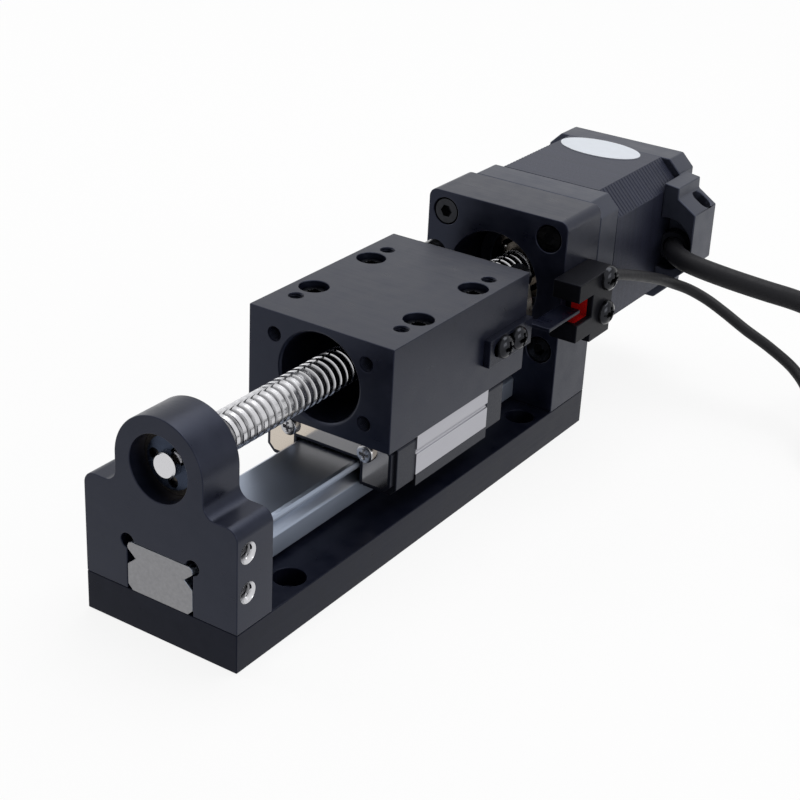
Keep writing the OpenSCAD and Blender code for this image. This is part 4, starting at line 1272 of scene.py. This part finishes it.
@dataclass
class SheetBands:
    """The ridges that the motor's stacked sheets show along its four cut corners."""

    half: float = 17.6
    cut: float = 5.4
    start: float = 71.4
    end: float = 102.5
    bands: int = 24
    share: float = 0.6
    proud: float = 0.11
    sunk: float = 0.05
    slope: float = 0.12
    end_gap: float = 0.15

    def build(self) -> Piece:
        """Makes the ridges: a low wedge-sided bar across the corner for each band, turned to each corner.

        Returns:
            The piece.
        """
        pitch = (self.end - self.start) / self.bands
        middle = self.start + pitch * (np.arange(self.bands) + 0.5)
        half_width = self.cut / math.sqrt(2) - self.end_gap
        foot = pitch * self.share / 2
        top = foot - self.slope
        across = np.array([-1, 1, 1, -1, -1, 1, 1, -1]) * half_width
        along = np.array([-foot, -foot, foot, foot, -top, -top, top, top])
        out = np.array([-self.sunk] * 4 + [self.proud] * 4)
        reach = (self.half - self.cut / 2) * math.sqrt(2)
        angle = np.radians([45, 135, 225, 315])
        radial = np.stack([np.cos(angle), np.sin(angle)], -1)[:, None, None]
        level = np.stack([-np.sin(angle), np.cos(angle)], -1)[:, None, None]
        flat = radial * (reach + out)[None, None, :, None] + level * across[None, None, :, None]
        flat = np.broadcast_to(flat, (4, self.bands, 8, 2))
        y = np.broadcast_to(middle[None, :, None] + along, (4, self.bands, 8))
        points = np.stack([flat[..., 0], y, flat[..., 1] + AXIS_Z / MM], -1).reshape(-1, 3) * MM
        bar = np.array([[0, 1, 2, 3], [4, 7, 6, 5], [0, 4, 5, 1], [1, 5, 6, 2], [2, 6, 7, 3], [3, 7, 4, 0]])
        faces = (bar[None] + 8 * np.arange(4 * self.bands)[:, None, None]).reshape(-1, 4)
        return new_piece("stack_sheet_bands", points, faces.tolist(), Body.FRAME, "lamination", smooth=False)


# ---------------- studio


@dataclass
class Lamp:
    """One soft square lamp that points at the module."""

    name: str
    place: Triple
    width: float
    height: float
    power: float
    aim: Triple = (0, 0.02, 0.03)

    def build(self) -> None:
        """Makes the lamp."""
        data = bpy.data.lights.new(self.name, "AREA")
        data.shape = "RECTANGLE"
        data.size, data.size_y, data.energy = self.width, self.height, self.power
        lamp = show(self.name, data)
        lamp.location = self.place
        way = Vector(self.place) - Vector(self.aim)
        lamp.rotation_euler = way.to_track_quat("Z", "Y").to_euler()


@dataclass
class Studio:
    """A pale floor, a white surround and soft lamps."""

    lamps: list[Lamp] = field(default_factory=lambda: [
        Lamp("lamp_above", (0.05, 0.25, 0.75), 0.7, 0.5, 4.0),
        Lamp("lamp_left", (-0.65, -0.05, 0.5), 0.5, 0.6, 1.5),
        Lamp("lamp_right", (0.75, -0.05, 0.28), 0.5, 0.35, 1.5),
    ])
    glow: float = 0.2
    floor_radii: Triple = (0.001, 0.4, 12.0)
    floor_level: float = -0.2 * MM
    floor_columns: int = 96
    white_share: float = 0.88
    fade: Pair = (0.25, 1.0)
    tones: Pair = (0.93, 0.97)
    rough: float = 0.55

    def floor(self) -> None:
        """Makes the floor: a large round disc of rings just under the module, white in the camera's eye.

        It is a share short of white near the module, so that the shadow shows, and all white past the fade.
        """
        angle = circle(self.floor_columns)
        radii = np.array(self.floor_radii)[:, None]
        rows = np.stack(np.broadcast_arrays(radii * np.cos(angle), radii * np.sin(angle), self.floor_level), -1)
        mesh = bpy.data.meshes.new("floor")
        faces = grid_faces(*rows.shape[:2])[:, ::-1]
        mesh.from_pydata(rows.reshape(-1, 3).tolist(), [], faces.tolist())
        floor = show("floor", mesh)
        s = Shader("floor")
        s.set(Base_Color=s.blend(s.noise(40), *(scaled(WHITE, tone) for tone in self.tones)), Roughness=self.rough)
        out = s.nodes["Material Output"]
        white = s.add("ShaderNodeEmission")
        white.inputs["Strength"].default_value = 1
        mix = s.add("ShaderNodeMixShader")
        far = s.remap(s.apart(s.where(0), s.where(1)), self.white_share, 1, *self.fade)
        s.links.new(s.math("MULTIPLY", s.eye(), far), mix.inputs[0])
        s.links.new(s.surface.outputs[0], mix.inputs[1])
        s.links.new(white.outputs[0], mix.inputs[2])
        s.links.new(mix.outputs[0], out.inputs["Surface"])
        mesh.materials.append(s.material)

    def world(self) -> None:
        """Gives the scene its surround: white to the eye, and soft grey as light."""
        world = bpy.data.worlds.new("surround")
        bpy.context.scene.world = world
        tree = NodeTree(world)
        back = tree.nodes["Background"].inputs
        tree.links.new(tree.math("MAXIMUM", tree.eye(), self.glow), back["Strength"])
        back["Color"].default_value = (*WHITE, 1)

    def build(self) -> None:
        """Makes the floor, the surround and the lamps, and sets the plain view transform."""
        bpy.context.scene.view_settings.view_transform = "Standard"
        self.floor()
        self.world()
        for lamp in self.lamps:
            lamp.build()


# ---------------- the whole module


SIDE, TOP, AHEAD, BEHIND = (1.0, 0.0, 0.0), (0.0, 0.0, 1.0), (0.0, -1.0, 0.0), (0.0, 1.0, 0.0)
HOLES = [
    TappedHoles("top_threads", "anodised_black", Body.CARRIAGE,
                [(x, 8.5 + y, 46) for x in (-12.5, 12.5) for y in (-16, 16)], TOP),
    TappedHoles("nut_face_threads", "anodised_black", Body.CARRIAGE,
                [(x, -16.5, 35 + z) for x in (-10.825, 10.825) for z in (-6.25, 6.25)], AHEAD),
    TappedHoles("side_threads", "nickel_screws", Body.FRAME, [(17.5, -60, z) for z in (15.5, 23.5)], SIDE,
                "tap_bright_shaded", 1.65, 0.7, flare=0.45),
]
SCREWS = [
    HeadedScrews("sensor_screws", "black_oxide", [(24, 56, 39.6), (24, 56, 31.6)], [SIDE] * 2,
                 Recess.CROSS, 2.75, 2, 12),
    HeadedScrews("flag_screws", "black_oxide", [(18.5, 21.8, 33.8), (18.5, 27.5, 33.8)], [SIDE] * 2,
                 Recess.CROSS, 2.5, 2, 6),
    HeadedScrews("guide_cap_screws", "nickel_screws",
                 [(x, y, 20.4) for y in (-12.55, 29.55) for x in (-9.3, 9.3)], [AHEAD] * 2 + [BEHIND] * 2,
                 Recess.CROSS, 1.9, 1.2, 10.7, 0.95, 0.7),
    HeadedScrews("block_bolts", "black_oxide",
                 [(x, 8.5 + y, 41.8) for x in (-12.5, 12.5) for y in (-10, 10)], [TOP] * 4,
                 Recess.HEX, 2.75, 3, 22.3),
]
EDGED = [
    *map(Rounded, ("base_plate", "front_block", "motor_block", "moving_block", "sensor_body", "ball_nut")),
    *(Rounded(node, 0.3) for node in ("motor_front_bell", "motor_rear_bell")),
    *(Rounded(node, 0.15) for node in ("guide_cap_front", "guide_cap_rear", "sensor_flag")),
    EndSeal("guide_seal_front", 0.08, curved=False),
    EndSeal("guide_seal_rear", 0.08, curved=False, outward=1),
    Rounded("guide_body", 0.1, 1, curved=False, finish="carriage_steel"),
    Rounded("linear_rail", 0.12, curved=False),
]


def main() -> None:
    """Builds the camera, the cords, the fine pieces and the studio in order."""
    logging.basicConfig(level=logging.INFO, format="%(message)s")
    Viewpoint().build()
    for name, node in frame["nodes"].items():
        dress(node, SLOTS[name])
    LOG.info("nodes dressed: %d", len(SLOTS))
    for part in (MOTOR_CORD, SENSOR_CORD, BallScrew(), SheetBands(), *HOLES, *SCREWS, *EDGED):
        LOG.info("piece %s", part.build().name)
    Studio().build()


if __name__ == "__main__":
    main()
